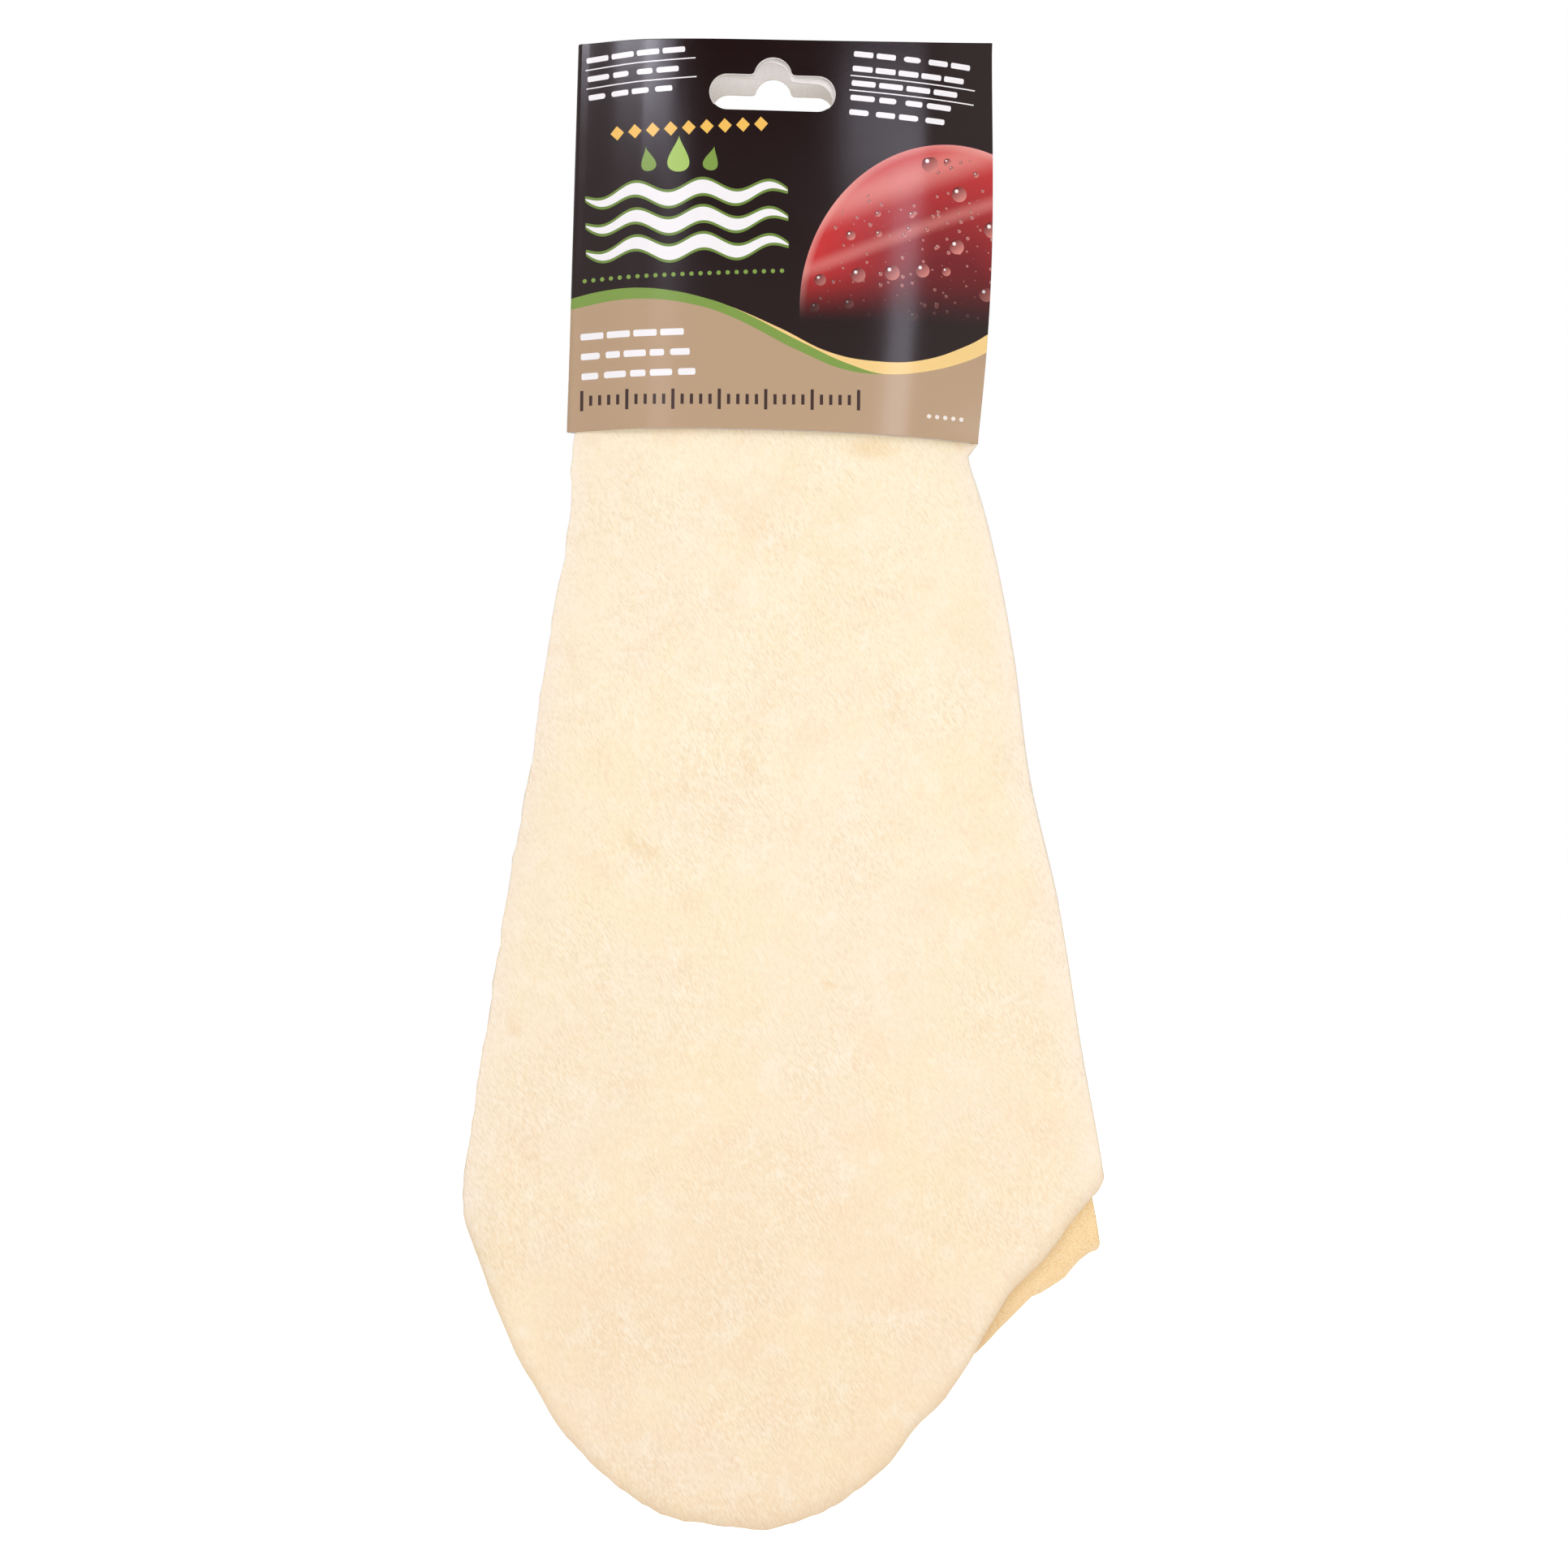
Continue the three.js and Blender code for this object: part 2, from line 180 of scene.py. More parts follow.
def add(tree, kind, inputs=(), **settings):
    """Adds a node with its settings, gives its open sockets values or links, and returns its
    first output. inputs is a list in the sockets' order, or a dictionary by their names."""
    node = tree.nodes.new("ShaderNode" + kind)
    for name, value in settings.items():
        setattr(node, name, value)
    sockets = [socket for socket in node.inputs if socket.enabled]
    named = inputs.items() if isinstance(inputs, dict) else enumerate(inputs)
    for key, value in named:
        socket = sockets[key] if isinstance(key, int) else next(s for s in sockets if s.name == key)
        if isinstance(value, bpy.types.NodeSocket):
            tree.links.new(value, socket)
        else:
            socket.default_value = value
    return next((socket for socket in node.outputs if socket.enabled), None)


def new_material(name):
    """An empty node material and its tree."""
    material = bpy.data.materials.new(name)
    material.use_nodes = True
    material.node_tree.nodes.clear()
    return material, material.node_tree


def xyz(x, y, z):
    """Points from their three coordinates, which may be numbers or arrays."""
    return np.stack(np.broadcast_arrays(x, y, z), -1)


print("an sRGB mid grey is, linear:", colour("#808080"))

# %% [markdown]
# ## The camera
# A long lens stands level in front of the middle of the object, as in a shop's product picture.
# A view without perspective would be simpler, but then the near panel wouldn't loom a little over
# the one behind it. The picture is turned by under two degrees, because the sleeve hangs a little
# askew on its peg.

# %% The camera
picture_px = 1932
focal_px = 3000
sensor_mm = 36
camera_mm = np.array([8.14, -628.7, -184.2])
picture_turn = math.radians(1.7)

camera = bpy.data.objects.new("camera", bpy.data.cameras.new("camera"))
bpy.context.scene.collection.objects.link(camera)
camera.data.sensor_width = sensor_mm
camera.data.lens = sensor_mm * focal_px / picture_px
camera.location = camera_mm * MM
camera.rotation_euler = (math.pi / 2, -picture_turn, 0)
bpy.context.scene.camera = camera
bpy.context.scene.view_settings.view_transform = "Standard"
print("lens in mm:", round(camera.data.lens, 1))

# %% [markdown]
# ## Light, floor and surroundings
# The picture was taken in soft, nearly even light. A dim white sky fills every side alike, and
# four large soft lamps, three in front and one behind, add the gentle modelling. Each lamp's power
# is worked out from the share of the light that it should give at the object.
# The background is white to the camera only, and towards the back to reflections. A lit backdrop
# would look the same, but it would throw its light on the object too.
# A dark glossy card shows what stands in front of it. Here that is a room that is dark above and
# lighter below and at the sides, with a few small bright strips, which draw the pale patches on
# the laminate.

# %% The sky
sky_share = 0.40
# How bright the room is low down, high up and at the sides, and the parts of a ray's direction
# (upwards, sideways and to the back) between which one turns into the next
room_low, room_high, room_side = 0.68, 0.0, 0.64
low_to_high = (0.12, 0.30)
middle_to_side = (0.20, 0.42)
front_to_back = (0.0, 0.5)
world = bpy.data.worlds.new("studio")
bpy.context.scene.world = world
world.use_nodes = True
world.node_tree.nodes.clear()
tree = world.node_tree
rays = add(tree, "LightPath").node.outputs
aside, behind, upward = add(tree, "SeparateXYZ", [add(tree, "TexCoord")]).node.outputs
backdrop_seen = add(tree, "MapRange", [behind, *front_to_back])
mirrored = add(tree, "Math", [rays["Is Glossy Ray"], rays["Is Transmission Ray"]], operation="ADD")
mirrored = add(tree, "Math", [mirrored, backdrop_seen], operation="MULTIPLY")
white_share = add(tree, "Math", [rays["Is Camera Ray"], mirrored], operation="ADD", use_clamp=True)
fill = add(tree, "Background", {"Color": colour("#FFFDFA"), "Strength": sky_share})
room_share = add(tree, "MapRange", [upward, *low_to_high, room_low, room_high])
aside = add(tree, "Math", [aside], operation="ABSOLUTE")
aside = add(tree, "MapRange", [aside, *middle_to_side])
room_share = add(tree, "Mix", {"Factor": aside, "A": room_share, "B": room_side})
room = add(tree, "Background", {"Color": colour("#FFF6F6"), "Strength": room_share})
white = add(tree, "Background", {"Color": (1, 1, 1, 1), "Strength": 1.0})
around = add(tree, "MixShader", [rays["Is Glossy Ray"], fill, room])
add(tree, "OutputWorld", [add(tree, "MixShader", [white_share, around, white])])
print("nodes in the sky:", len(tree.nodes))

# %% The lamps
target_mm = np.array([5.0, 0.0, -150.0])
strip_tint = "#F1EFFF"


def lamp(name, at_mm, size_mm, light_share, tint="#FFFFFF"):
    """A soft rectangular lamp facing the object. It lights a white surface that faces it to
    light_share of full white: its power is pi squared times that share times the distance
    squared."""
    data = bpy.data.lights.new(name, "AREA")
    data.shape = "RECTANGLE"
    data.size, data.size_y = size_mm[0] * MM, size_mm[1] * MM
    away = (np.array(at_mm) - target_mm) * MM
    data.energy = math.pi ** 2 * light_share * float(away @ away)
    data.color = colour(tint)[:3]
    thing = bpy.data.objects.new(name, data)
    bpy.context.scene.collection.objects.link(thing)
    thing.location = np.array(at_mm) * MM
    from_target = thing.location - Vector(target_mm * MM)
    thing.rotation_mode = "QUATERNION"
    thing.rotation_quaternion = from_target.to_track_quat("Z", "Y")
    print(name, "power in watts:", round(data.energy, 2))


def strip(name, at_mm, size_mm, brightness):
    """A small lamp for the card to mirror, so many times as bright as white. The share that it
    gives is the brightness times its area, over pi times the distance squared."""
    away = (np.array(at_mm) - target_mm) * MM
    area = size_mm[0] * size_mm[1] * MM ** 2
    share = brightness * area / (math.pi * float(away @ away))
    lamp(name, at_mm, size_mm, share, strip_tint)


# Each lamp's middle in mm, its width and height, and its share of full white
lamp("key_lamp", (-430, -820, 640), (600, 500), 0.14)
lamp("fill_lamp", (620, -640, -200), (500, 400), 0.17)
lamp("low_front_lamp", (40, -1000, -380), (900, 600), 0.30)
lamp("back_lamp", (-380, 1000, 420), (900, 700), 0.50)

# Each strip's middle in mm, its width and height, and its brightness
strip("left_gleam", (-640, -1100, 435), (600, 100), 13.0)
strip("left_strip_high", (-360, -1100, 335), (200, 90), 4.3)
strip("left_strip_middle", (-258, -1100, 270), (130, 40), 1.6)
strip("left_strip_low", (-240, -1100, 208), (100, 84), 1.0)
strip("left_strip_foot", (-282, -1100, 95), (90, 142), 1.3)
strip("right_haze", (235, -1100, 287), (325, 95), 2.9)
strip("right_strip", (300, -1090, 80), (120, 300), 3.3)

# %% The floor
# It lies clear of the skin's foot, at a whole mm, even when the skin is pulled right out
pull_reach = frame["record"]["behaviour"]["joints"][0]["range_m"][1] / MM
foot_clearance = 35
floor_gap = pull_reach + foot_clearance
floor_z = math.ceil(cad_box[0][2] / MM - floor_gap)
floor_half = 6000
# How far from the object, in metres, its shadow starts to fade and is gone, and how strongly the
# paper glows to the camera at each
shadow_reach = (0.10, 0.34)
shadow_glow = (0.45, 1.05)
square = ((-1, -1), (1, -1), (1, 1), (-1, 1))
corners = np.array([(x * floor_half, y * floor_half, floor_z) for x, y in square])
floor_mesh = bpy.data.meshes.new("floor")
floor_mesh.from_pydata((corners * MM).tolist(), [], [(0, 1, 2, 3)])
floor = bpy.data.objects.new("floor", floor_mesh)
bpy.context.scene.collection.objects.link(floor)
material, tree = new_material("pale_floor_paper")
rays = add(tree, "LightPath").node.outputs
spot = add(tree, "TexCoord").node.outputs["Object"]
behind = add(tree, "SeparateXYZ", [spot]).node.outputs["Y"]
mirrored = add(tree, "Math", [rays["Is Glossy Ray"], behind], operation="MULTIPLY", use_clamp=True)
seen = add(tree, "Math", [rays["Is Camera Ray"], mirrored], operation="MAXIMUM")
level = add(tree, "VectorMath", [spot, (1, 1, 0)], operation="MULTIPLY")
reach = add(tree, "VectorMath", [level], operation="LENGTH")
white = add(tree, "MapRange", [reach, *shadow_reach, *shadow_glow], interpolation_type="SMOOTHSTEP")
strength = add(tree, "Math", [seen, white], operation="MULTIPLY")
paper = add(tree, "BsdfDiffuse", {"Color": colour("#F4F3F1")})
lift = add(tree, "Emission", {"Color": (1, 1, 1, 1), "Strength": strength})
add(tree, "OutputMaterial", [add(tree, "AddShader", [paper, lift])])
floor_mesh.materials.append(material)
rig.stage(floor)
print("floor height in mm:", floor_z)

# %% [markdown]
# ## The sleeve's shape
# The real sleeve is one strip of card. It starts at the right of the front panel, runs left to a
# fold, back across the rear panel to a second fold, and ends in a flap glued behind the front.
# The skin inside swells both panels, most in the middle and not at all at the folds.
# A flat strip could be bent by modifiers. Formulas are chosen instead, because each panel then
# stands where the frame has it. A point of the card is given by its panel, its place across (-1 at
# the left fold, 1 at the right one) and its height, and its panel's formula gives how far back it
# stands.

# %% The sleeve's sizes in mm
# They are the frame's, apart from small bows and dips in the edges that follow the real card
card_thickness = 0.4
sleeve_half_width = 53.0
sleeve_centre = 2.8
sleeve_top = 5.0
sleeve_height = 99.3
sleeve_swell = 1.7         # how far the right side bows out
swell_power = 1.2
right_tuck = 0.6           # and how far the mouth draws it in again
top_dip = 0.2
top_corner_rise = 2.4
corner_rise_power = 6
left_corner_drop = 0.8
corner_drop_power = 3
bottom_arch = 1.3
fold_ahead = 3.0           # the side folds, ahead of the skin's middle plane
flap_gap = 0.9             # between the front panel and the flap
flap_reach = 86.0          # from the right fold to the flap's free edge
wall_depth = 8.6           # half the depth inside, at the middle
fullness_in_sleeve = 3.4
closing_start = 0.04       # the front panel starts to close up this far past the flap's edge
closed_place = 0.96        # and lies on the rear one from here to the left fold
sleeve_bottom = sleeve_top - sleeve_height
front_outside = card_thickness + flap_gap + card_thickness / 2
wall_outside = card_thickness / 2
flap_end = 1 - flap_reach / sleeve_half_width


def fullness(place, power):
    """How full the stack is: 1 in the middle, 0 at the rim, as one minus a power of the place."""
    return 1 - np.clip(np.abs(place), 0, 1) ** power


def smooth(value, low, high):
    """0 below low, 1 above high, and an S curve between them."""
    t = np.clip((value - low) / (high - low), 0, 1)
    return t * t * (3 - 2 * t)


def sleeve_reach(place, z):
    """Half the sleeve's width at a height. The right side bows out by half a sine wave, whose top
    a power brings a little below the middle, and draws in with the square of the way down."""
    down = np.clip((sleeve_top - z) / sleeve_height, 0, 1)
    bow = sleeve_swell * np.sin(np.pi * down ** swell_power) - right_tuck * down ** 2
    return sleeve_half_width + np.where(place > 0, bow, 0)


def card_top(place):
    """The top edge's height: nearly level, rising to the right corner and falling to the left
    one, each by a power of the way across."""
    rise = top_corner_rise * ((1 + place) / 2) ** corner_rise_power
    return sleeve_top - top_dip + rise - left_corner_drop * ((1 - place) / 2) ** corner_drop_power


def card_bottom(place):
    """The bottom edge's height: a shallow arch, falling by the square of the place."""
    return sleeve_bottom - bottom_arch * place ** 2


def panel_y(panel, place, z):
    """How far back a panel stands. The fold line plus or minus the wall's depth, and half a card
    or the flap's gap more. The front panel closes up to the rear one towards the left fold."""
    full = fullness(place, fullness_in_sleeve)
    fold = -fold_ahead * (1 - full)
    if panel == "back":
        return fold + wall_depth * full + wall_outside
    if panel == "flap":
        return fold - wall_depth * full - wall_outside
    closing = smooth(-place, -flap_end + closing_start, closed_place)
    outside = front_outside + (wall_outside - front_outside) * closing
    return fold - wall_depth * full - outside


print("card sleeve, mm wide and high:", 2 * sleeve_half_width, sleeve_height)

# %% [markdown]
# ## The hang slot
# A die cuts the slot through the card: a long hole with round ends, and a round arch over its
# middle that centres the peg. Its outline is made of straight runs and arcs, and is then split in
# four runs, to be joined to the four sides of a patch in the card's grid. So the hole is part of
# the grid, with no cut made afterwards and with clean edges.

# %% The slot's outline
slot_width = 31.75
slot_height = 8.9
arch_radius = 4.75
slot_shoulder = 4.4
shoulder_fillet = 1.1
fillet_sweep = 80          # degrees, from the straight edge towards the arch
outline_steps = 24


def arc(centre, radius, start, end):
    """Points along an arc, from one angle in degrees to another."""
    angle = np.radians(np.linspace(start, end, outline_steps))
    return np.stack([centre[0] + radius * np.cos(angle), centre[1] + radius * np.sin(angle)], -1)


def resampled(line, count):
    """count + 1 points at even distances along a line of points."""
    length = np.concatenate([[0], np.cumsum(np.linalg.norm(np.diff(line, axis=0), axis=1))])
    at = np.linspace(0, length[-1], count + 1)
    return np.stack([np.interp(at, length, line[:, k]) for k in (0, 1)], -1)


def slot_runs(counts):
    """The slot's outline as four runs, each split in its count of steps: along the top from left
    to right, down the right end, back along the bottom and up the left end. The runs meet on the
    round ends, at 45 degrees."""
    end = (slot_width - slot_height) / 2
    radius = slot_height / 2
    top = -slot_shoulder
    middle = top - radius
    foot_angle = math.degrees(math.asin((arch_radius - slot_shoulder + shoulder_fillet) / arch_radius))
    foot = arch_radius * math.cos(math.radians(foot_angle)) + shoulder_fillet
    left, right = (-end, middle), (end, middle)
    upper = np.concatenate([
        arc(left, radius, 135, 90),
        arc((-foot, top + shoulder_fillet), shoulder_fillet, 270, 270 + fillet_sweep),
        arc((0, -arch_radius), arch_radius, 180 - foot_angle, foot_angle),
        arc((foot, top + shoulder_fillet), shoulder_fillet, 270 - fillet_sweep, 270),
        arc(right, radius, 90, 45),
    ])
    lower = np.concatenate([arc(right, radius, -45, -90), arc(left, radius, 270, 225)])
    runs = [upper, arc(right, radius, 45, -45), lower, arc(left, radius, 225, 135)]
    return np.concatenate([resampled(run, count)[:-1] for run, count in zip(runs, counts)])


print("slot outline, mm:", np.ptp(slot_runs((40, 10, 40, 10)), axis=0).round(2))

# %% [markdown]
# ## The card as one grid
# Columns run along the strip and rows run down it. At a fold the columns go round half an ellipse.
# Around each slot a patch of the grid is left out, and rings of points lead from the patch's rim
# to the slot's outline. Two separate skins could make the card's thickness, but a Solidify
# modifier does it at once, and its rim shows the pale core of the card.

# %% The strip's columns and rows
cut_band = 0.17            # a thin row and column along each cut edge
fold_place = 0.965
fold_steps = 8
patch_half_width = 21.0
patch_drop = 1.3           # from the top edge to the slot's patch
patch_floor = -19.5
patch_columns = 56
patch_rows = 20
right_columns = 18
left_columns = 22
flap_columns = 6
top_bands = (0, 1, 3)      # the first rows, in bands below the top edge
lower_rows = 46
patch_first_row = len(top_bands)


def strip_columns():
    """Each column of the strip: its panel, its place across and, in a fold, its angle."""
    reach = patch_half_width / sleeve_half_width
    centre = -sleeve_centre / sleeve_half_width
    band = cut_band / sleeve_half_width
    columns = []

    def run(panel, stops, counts):
        parts = [np.linspace(a, b, n + 1)[:-1] for a, b, n in zip(stops, stops[1:], counts)]
        columns.extend((panel, place, 0.0) for place in [*np.concatenate(parts), stops[-1]])

    def fold(side, start, end):
        angles = np.linspace(start, end, fold_steps + 2)[1:-1]
        columns.extend((side, 0.0, angle) for angle in angles)

    high, low = centre + reach, centre - reach
    run("front", [1, 1 - band, high, low, -fold_place], [1, right_columns, patch_columns, left_columns])
    fold("left_fold", -math.pi / 2, math.pi / 2)
    run("back", [-fold_place, low, high, fold_place], [left_columns, patch_columns, right_columns])
    fold("right_fold", math.pi / 2, -math.pi / 2)
    flap_stops = [fold_place, high, low, flap_end + band, flap_end]
    run("flap", flap_stops, [right_columns, patch_columns, flap_columns, 1])
    return columns


def strip_rows():
    """Shares down the card: thin rows at each cut edge, the rows beside the slot, the rest."""
    band = cut_band / sleeve_height
    top = np.array(top_bands) * band
    first = patch_drop / sleeve_height
    last = (sleeve_top - patch_floor) / sleeve_height
    patch = np.linspace(first, last, patch_rows + 1)
    rest = np.linspace(last, 1 - band, lower_rows + 1)[1:]
    return np.concatenate([top, patch, rest, [1]])


def fold_point(side, angle, down):
    """A point in a fold: half an ellipse from the panel in front round to the one behind."""
    sign = -1 if side == "left_fold" else 1
    ahead = "front" if side == "left_fold" else "flap"
    place = sign * fold_place
    z = card_top(place) + (card_bottom(place) - card_top(place)) * down
    x = sleeve_centre + sleeve_reach(place, z) * place
    tip = sleeve_centre + sleeve_reach(sign, z) * sign
    front, back = panel_y(ahead, place, z), panel_y("back", place, z)
    y = (front + back) / 2 + (back - front) / 2 * np.sin(angle)
    return xyz(x + (tip - x) * np.cos(angle), y, z)


def card_column(panel, place, angle, down):
    """One column of points down the card."""
    if panel.endswith("fold"):
        return fold_point(panel, angle, down)
    z = card_top(place) + (card_bottom(place) - card_top(place)) * down
    x = sleeve_centre + sleeve_reach(place, z) * place
    return xyz(x, panel_y(panel, place, z), z)


columns = strip_columns()
rows = strip_rows()
card_points = np.stack([card_column(*column, rows) for column in columns], axis=1)
print("card grid, rows and columns:", card_points.shape[:2])

# %% The slots' patches
ring_shares = np.array([0.12, 0.3, 0.55, 0.8])
row_by_slot = 10           # a row that passes the slot, where the patch's columns are looked up
column_margin = 0.6
# Each slot's panel, how low it sits in mm and how far it is turned
slots = (("front", 0, 0), ("back", 0, 0), ("flap", 0.9, math.radians(-3.5)))


def grid_quads(index):
    """The quads between neighbouring points of a grid of point numbers."""
    corners = [index[:-1, :-1], index[:-1, 1:], index[1:, 1:], index[1:, :-1]]
    return np.stack(corners, -1).reshape(-1, 4)


def ring_quads(loops):
    """The quads between closed loops of point numbers, each loop as long as the next."""
    after = np.roll(loops, -1, axis=1)
    corners = [loops[:-1], after[:-1], after[1:], loops[1:]]
    return np.stack(corners, -1).reshape(-1, 4)


def card_at(panel, x, z):
    """The card's point at a given x and z: its place is worked back from x."""
    place = (x - sleeve_centre) / sleeve_reach(x - sleeve_centre, z)
    return xyz(x, panel_y(panel, place, z), z)


index = np.arange(card_points.shape[0] * card_points.shape[1]).reshape(card_points.shape[:2])
points = [card_points.reshape(-1, 3)]
row_span = slice(patch_first_row, patch_first_row + patch_rows + 1)
x_by_slot = card_points[row_by_slot, :, 0]
keep = np.ones(np.array(index.shape) - 1, bool)
patch_faces, band_faces = [], []
for panel, drop, turn in slots:
    across = [k for k, column in enumerate(columns) if column[0] == panel]
    near = [k for k in across if abs(x_by_slot[k]) < patch_half_width + column_margin]
    span = slice(min(near), min(near) + patch_columns + 1)
    block = index[row_span, span]
    if x_by_slot[span.start] > x_by_slot[span.stop - 1]:
        block = block[:, ::-1]
    rim = np.concatenate([block[0, :-1], block[:-1, -1], block[-1, :0:-1], block[:0:-1, 0]])
    outline = slot_runs((patch_columns, patch_rows, patch_columns, patch_rows))
    turned = np.array([[math.cos(turn), -math.sin(turn)], [math.sin(turn), math.cos(turn)]])
    outline = outline @ turned.T - [0, drop]
    rim_xz = points[0][rim][:, [0, 2]]
    outward = rim_xz - outline
    outward /= np.linalg.norm(outward, axis=1, keepdims=True)
    banded = outline + outward * cut_band
    loops = [outline, banded, *[banded + (rim_xz - banded) * share for share in ring_shares]]
    first = sum(len(part) for part in points)
    points.extend(card_at(panel, loop[:, 0], loop[:, 1]) for loop in loops)
    numbers = first + np.arange(len(loops) * len(rim)).reshape(len(loops), -1)
    rings = ring_quads(np.concatenate([numbers, rim[None]]))
    if panel == "back":
        rings = rings[:, ::-1]
    band_faces.append(rings[:len(rim)])
    patch_faces.append(rings[len(rim):])
    keep[row_span.start:row_span.stop - 1, span.start:span.stop - 1] = False
card_points = np.concatenate(points)
print("points round the slots:", len(card_points) - index.size)

# %% The card's mesh
card_finishes = ("printed_laminate", "grey_board", "card_core")
PRINT, BOARD, CORE = range(len(card_finishes))
core_lift = 1.0            # no core shows lower than this above a slot's lower edge or the mouth


def add_mesh(name, points, quads):
    """A mesh object at the origin, from points in millimetres."""
    mesh = bpy.data.meshes.new(name)
    mesh.from_pydata((np.asarray(points) * MM).tolist(), [], quads.tolist())
    mesh.shade_smooth()
    thing = bpy.data.objects.new(name, mesh)
    bpy.context.scene.collection.objects.link(thing)
    return thing


def apply_modifiers(thing):
    """Puts the modifiers' result into the object's own mesh."""
    graph = bpy.context.evaluated_depsgraph_get()
    mesh = bpy.data.meshes.new_from_object(thing.evaluated_get(graph))
    thing.modifiers.clear()
    thing.data = mesh


body_faces = grid_quads(index)[keep.reshape(-1)]
sleeve = add_mesh("card_wrap", card_points, np.concatenate([body_faces, *patch_faces, *band_faces]))
column_of = np.repeat(np.arange(len(columns) - 1)[None], len(rows) - 1, axis=0)[keep]
on_flap = np.array([column[0] == "flap" for column in columns])[column_of]
body_finish = np.where(on_flap, BOARD, PRINT)
patch_finish = np.repeat([PRINT, PRINT, BOARD], [len(part) for part in patch_faces])
band_height = card_points[np.concatenate(band_faces)[:, 0], 2]
band_finish = np.where(band_height > core_lift - slot_shoulder - slot_height, CORE, PRINT)
finishes = np.concatenate([body_finish, patch_finish, band_finish]).astype(np.int32)
for name in card_finishes:
    sleeve.data.materials.append(new_material(name)[0])
sleeve.data.polygons.foreach_set("material_index", finishes)
wall = sleeve.modifiers.new("card thickness", "SOLIDIFY")
wall.thickness = card_thickness * MM
wall.offset = 0
wall.material_offset = BOARD
wall.material_offset_rim = CORE
apply_modifiers(sleeve)
card_faces = sleeve.data.polygons
centres = np.zeros(len(card_faces) * 3)
card_faces.foreach_get("center", centres)
finishes = np.zeros(len(card_faces), np.int32)
card_faces.foreach_get("material_index", finishes)
# Painted shade: along the mouth the card's cut edge, whose underside lies in shade, takes the dark print instead of
# the pale core
shaded_mouth_rim = (finishes == CORE) & (centres[2::3] < (sleeve_bottom + core_lift) * MM)
card_faces.foreach_set("material_index", np.where(shaded_mouth_rim, PRINT, finishes).astype(np.int32))
print("card faces:", len(card_faces))

# %% [markdown]
# ## The skin's shape
# The hide is folded lengthwise in a zigzag of six plies, and this long stack is folded over once
# more at the top, so that twelve plies lie on each other in the sleeve. Below the sleeve the
# stack widens to the hide's own outline, and each ply ends in its own rounded foot.
# A cloth simulation could fold it, but so many plies in a tight sleeve would push through each
# other, so the folded shape is worked out. One grid describes it all: a column follows one line of
# the hide from the front foot up over the crosswise fold and down to the foot behind. A point's
# ply, its share across the ply and its height give its place, and the two faces lie half a
# thickness to each side.

# %% The skin's sizes in mm
# They are the frame's, apart from a tighter rim and mouth that follow the real one closer
skin_thickness = 0.7
skin_drop = 359.5
skin_crown = -15.4
plies = 6
ply_air = 0.68
ply_air_at_rim = 0.2
core_radius = 0.7
skin_half_width = 82.0
mouth_flare = 3.5
fulling_length = 120.0
fit_clear = 0.3
ply_pitch = skin_thickness + ply_air
ply_pitch_at_rim = skin_thickness + ply_air_at_rim
stack_half_depth = core_radius + plies * ply_pitch - ply_air
turn_z = skin_crown - stack_half_depth
mouth_z = sleeve_bottom - bottom_arch

# The outline: how far down the drop, and how many half widths to the left and right
edge_at = [0, 0.13, 0.213, 0.2275, 0.24, 0.29, 0.37, 0.46, 0.55, 0.65, 0.77, 1]
left_shares = [-0.53, -0.55, -0.572, -0.595, -0.595, -0.598, -0.648, -0.693, -0.753, -0.808,
               -0.868, -0.9]
right_shares = [0.52, 0.535, 0.575, 0.609, 0.643, 0.715, 0.793, 0.855, 0.957, 1.039, 1.14, 1.2]
left_edge_share = 0.93
right_fold_share = 0.864
inner_fold_share = 0.7
inner_fold_low_share = 0.82
fullness_below = 6.0
outer_ply_lift = 0.4

# The feet: the corners' depths from the front free edge inwards, how far each ply's foot drops
# below them, and the foot's curve across a ply. The ply that peeps out at the right has a curve
# and an outward kick of its own.
corner_shares = [0.77, 0.752, 0.755, 0.796, 0.765, 0.78, 0.75]
foot_shares = [0.243, 0.2, 0.16, 0.145, 0.14, 0.14]
rear_drop_share = 0.965
foot_at = [0, 0.005, 0.021, 0.044, 0.067, 0.1, 0.132, 0.158, 0.184, 0.234, 0.284, 0.333, 0.381,
           0.429, 0.49, 0.525, 0.549, 0.597, 0.645, 0.678, 0.707, 0.744, 0.763, 0.788, 0.827,
           0.854, 0.873, 0.913, 0.936, 0.979, 1]
foot_curve = [0, 0.072, 0.135, 0.232, 0.328, 0.458, 0.555, 0.637, 0.706, 0.808, 0.88, 0.928, 0.953,
              0.97, 0.974, 0.957, 0.938, 0.887, 0.817, 0.753, 0.678, 0.603, 0.549, 0.476, 0.35,
              0.274, 0.241, 0.17, 0.114, 0.027, 0]
peeping_ply = 2
peeping_at = [*foot_at[:20], 0.79, 0.83, 0.847, 0.883, 0.921, 0.943, 0.974, 0.981, 1]
peeping_curve = [*foot_curve[:20], 0.519, 0.407, 0.356, 0.245, 0.175, 0.13, 0.035, 0.026, 0]
fold_kick_share = 0.021
kick_from, kick_to = -278.0, -303.0
corner_round = 3.2
peeping_round = 1.6
left_corner_round = 1.0
fold_bulge = 0.6           # the way on round a fold, past the flat ply

# The small waves of a cut edge: height in mm, mm for a radian, phase, and the radians by which a
# slower wave shifts them, with its own mm for a radian
cut_waves = ((0.22, 3.1, 1, 2.1, 17), (0.15, 1.13, 0, 2.6, 7.7), (0.06, 0.53, 0, 0, 1))


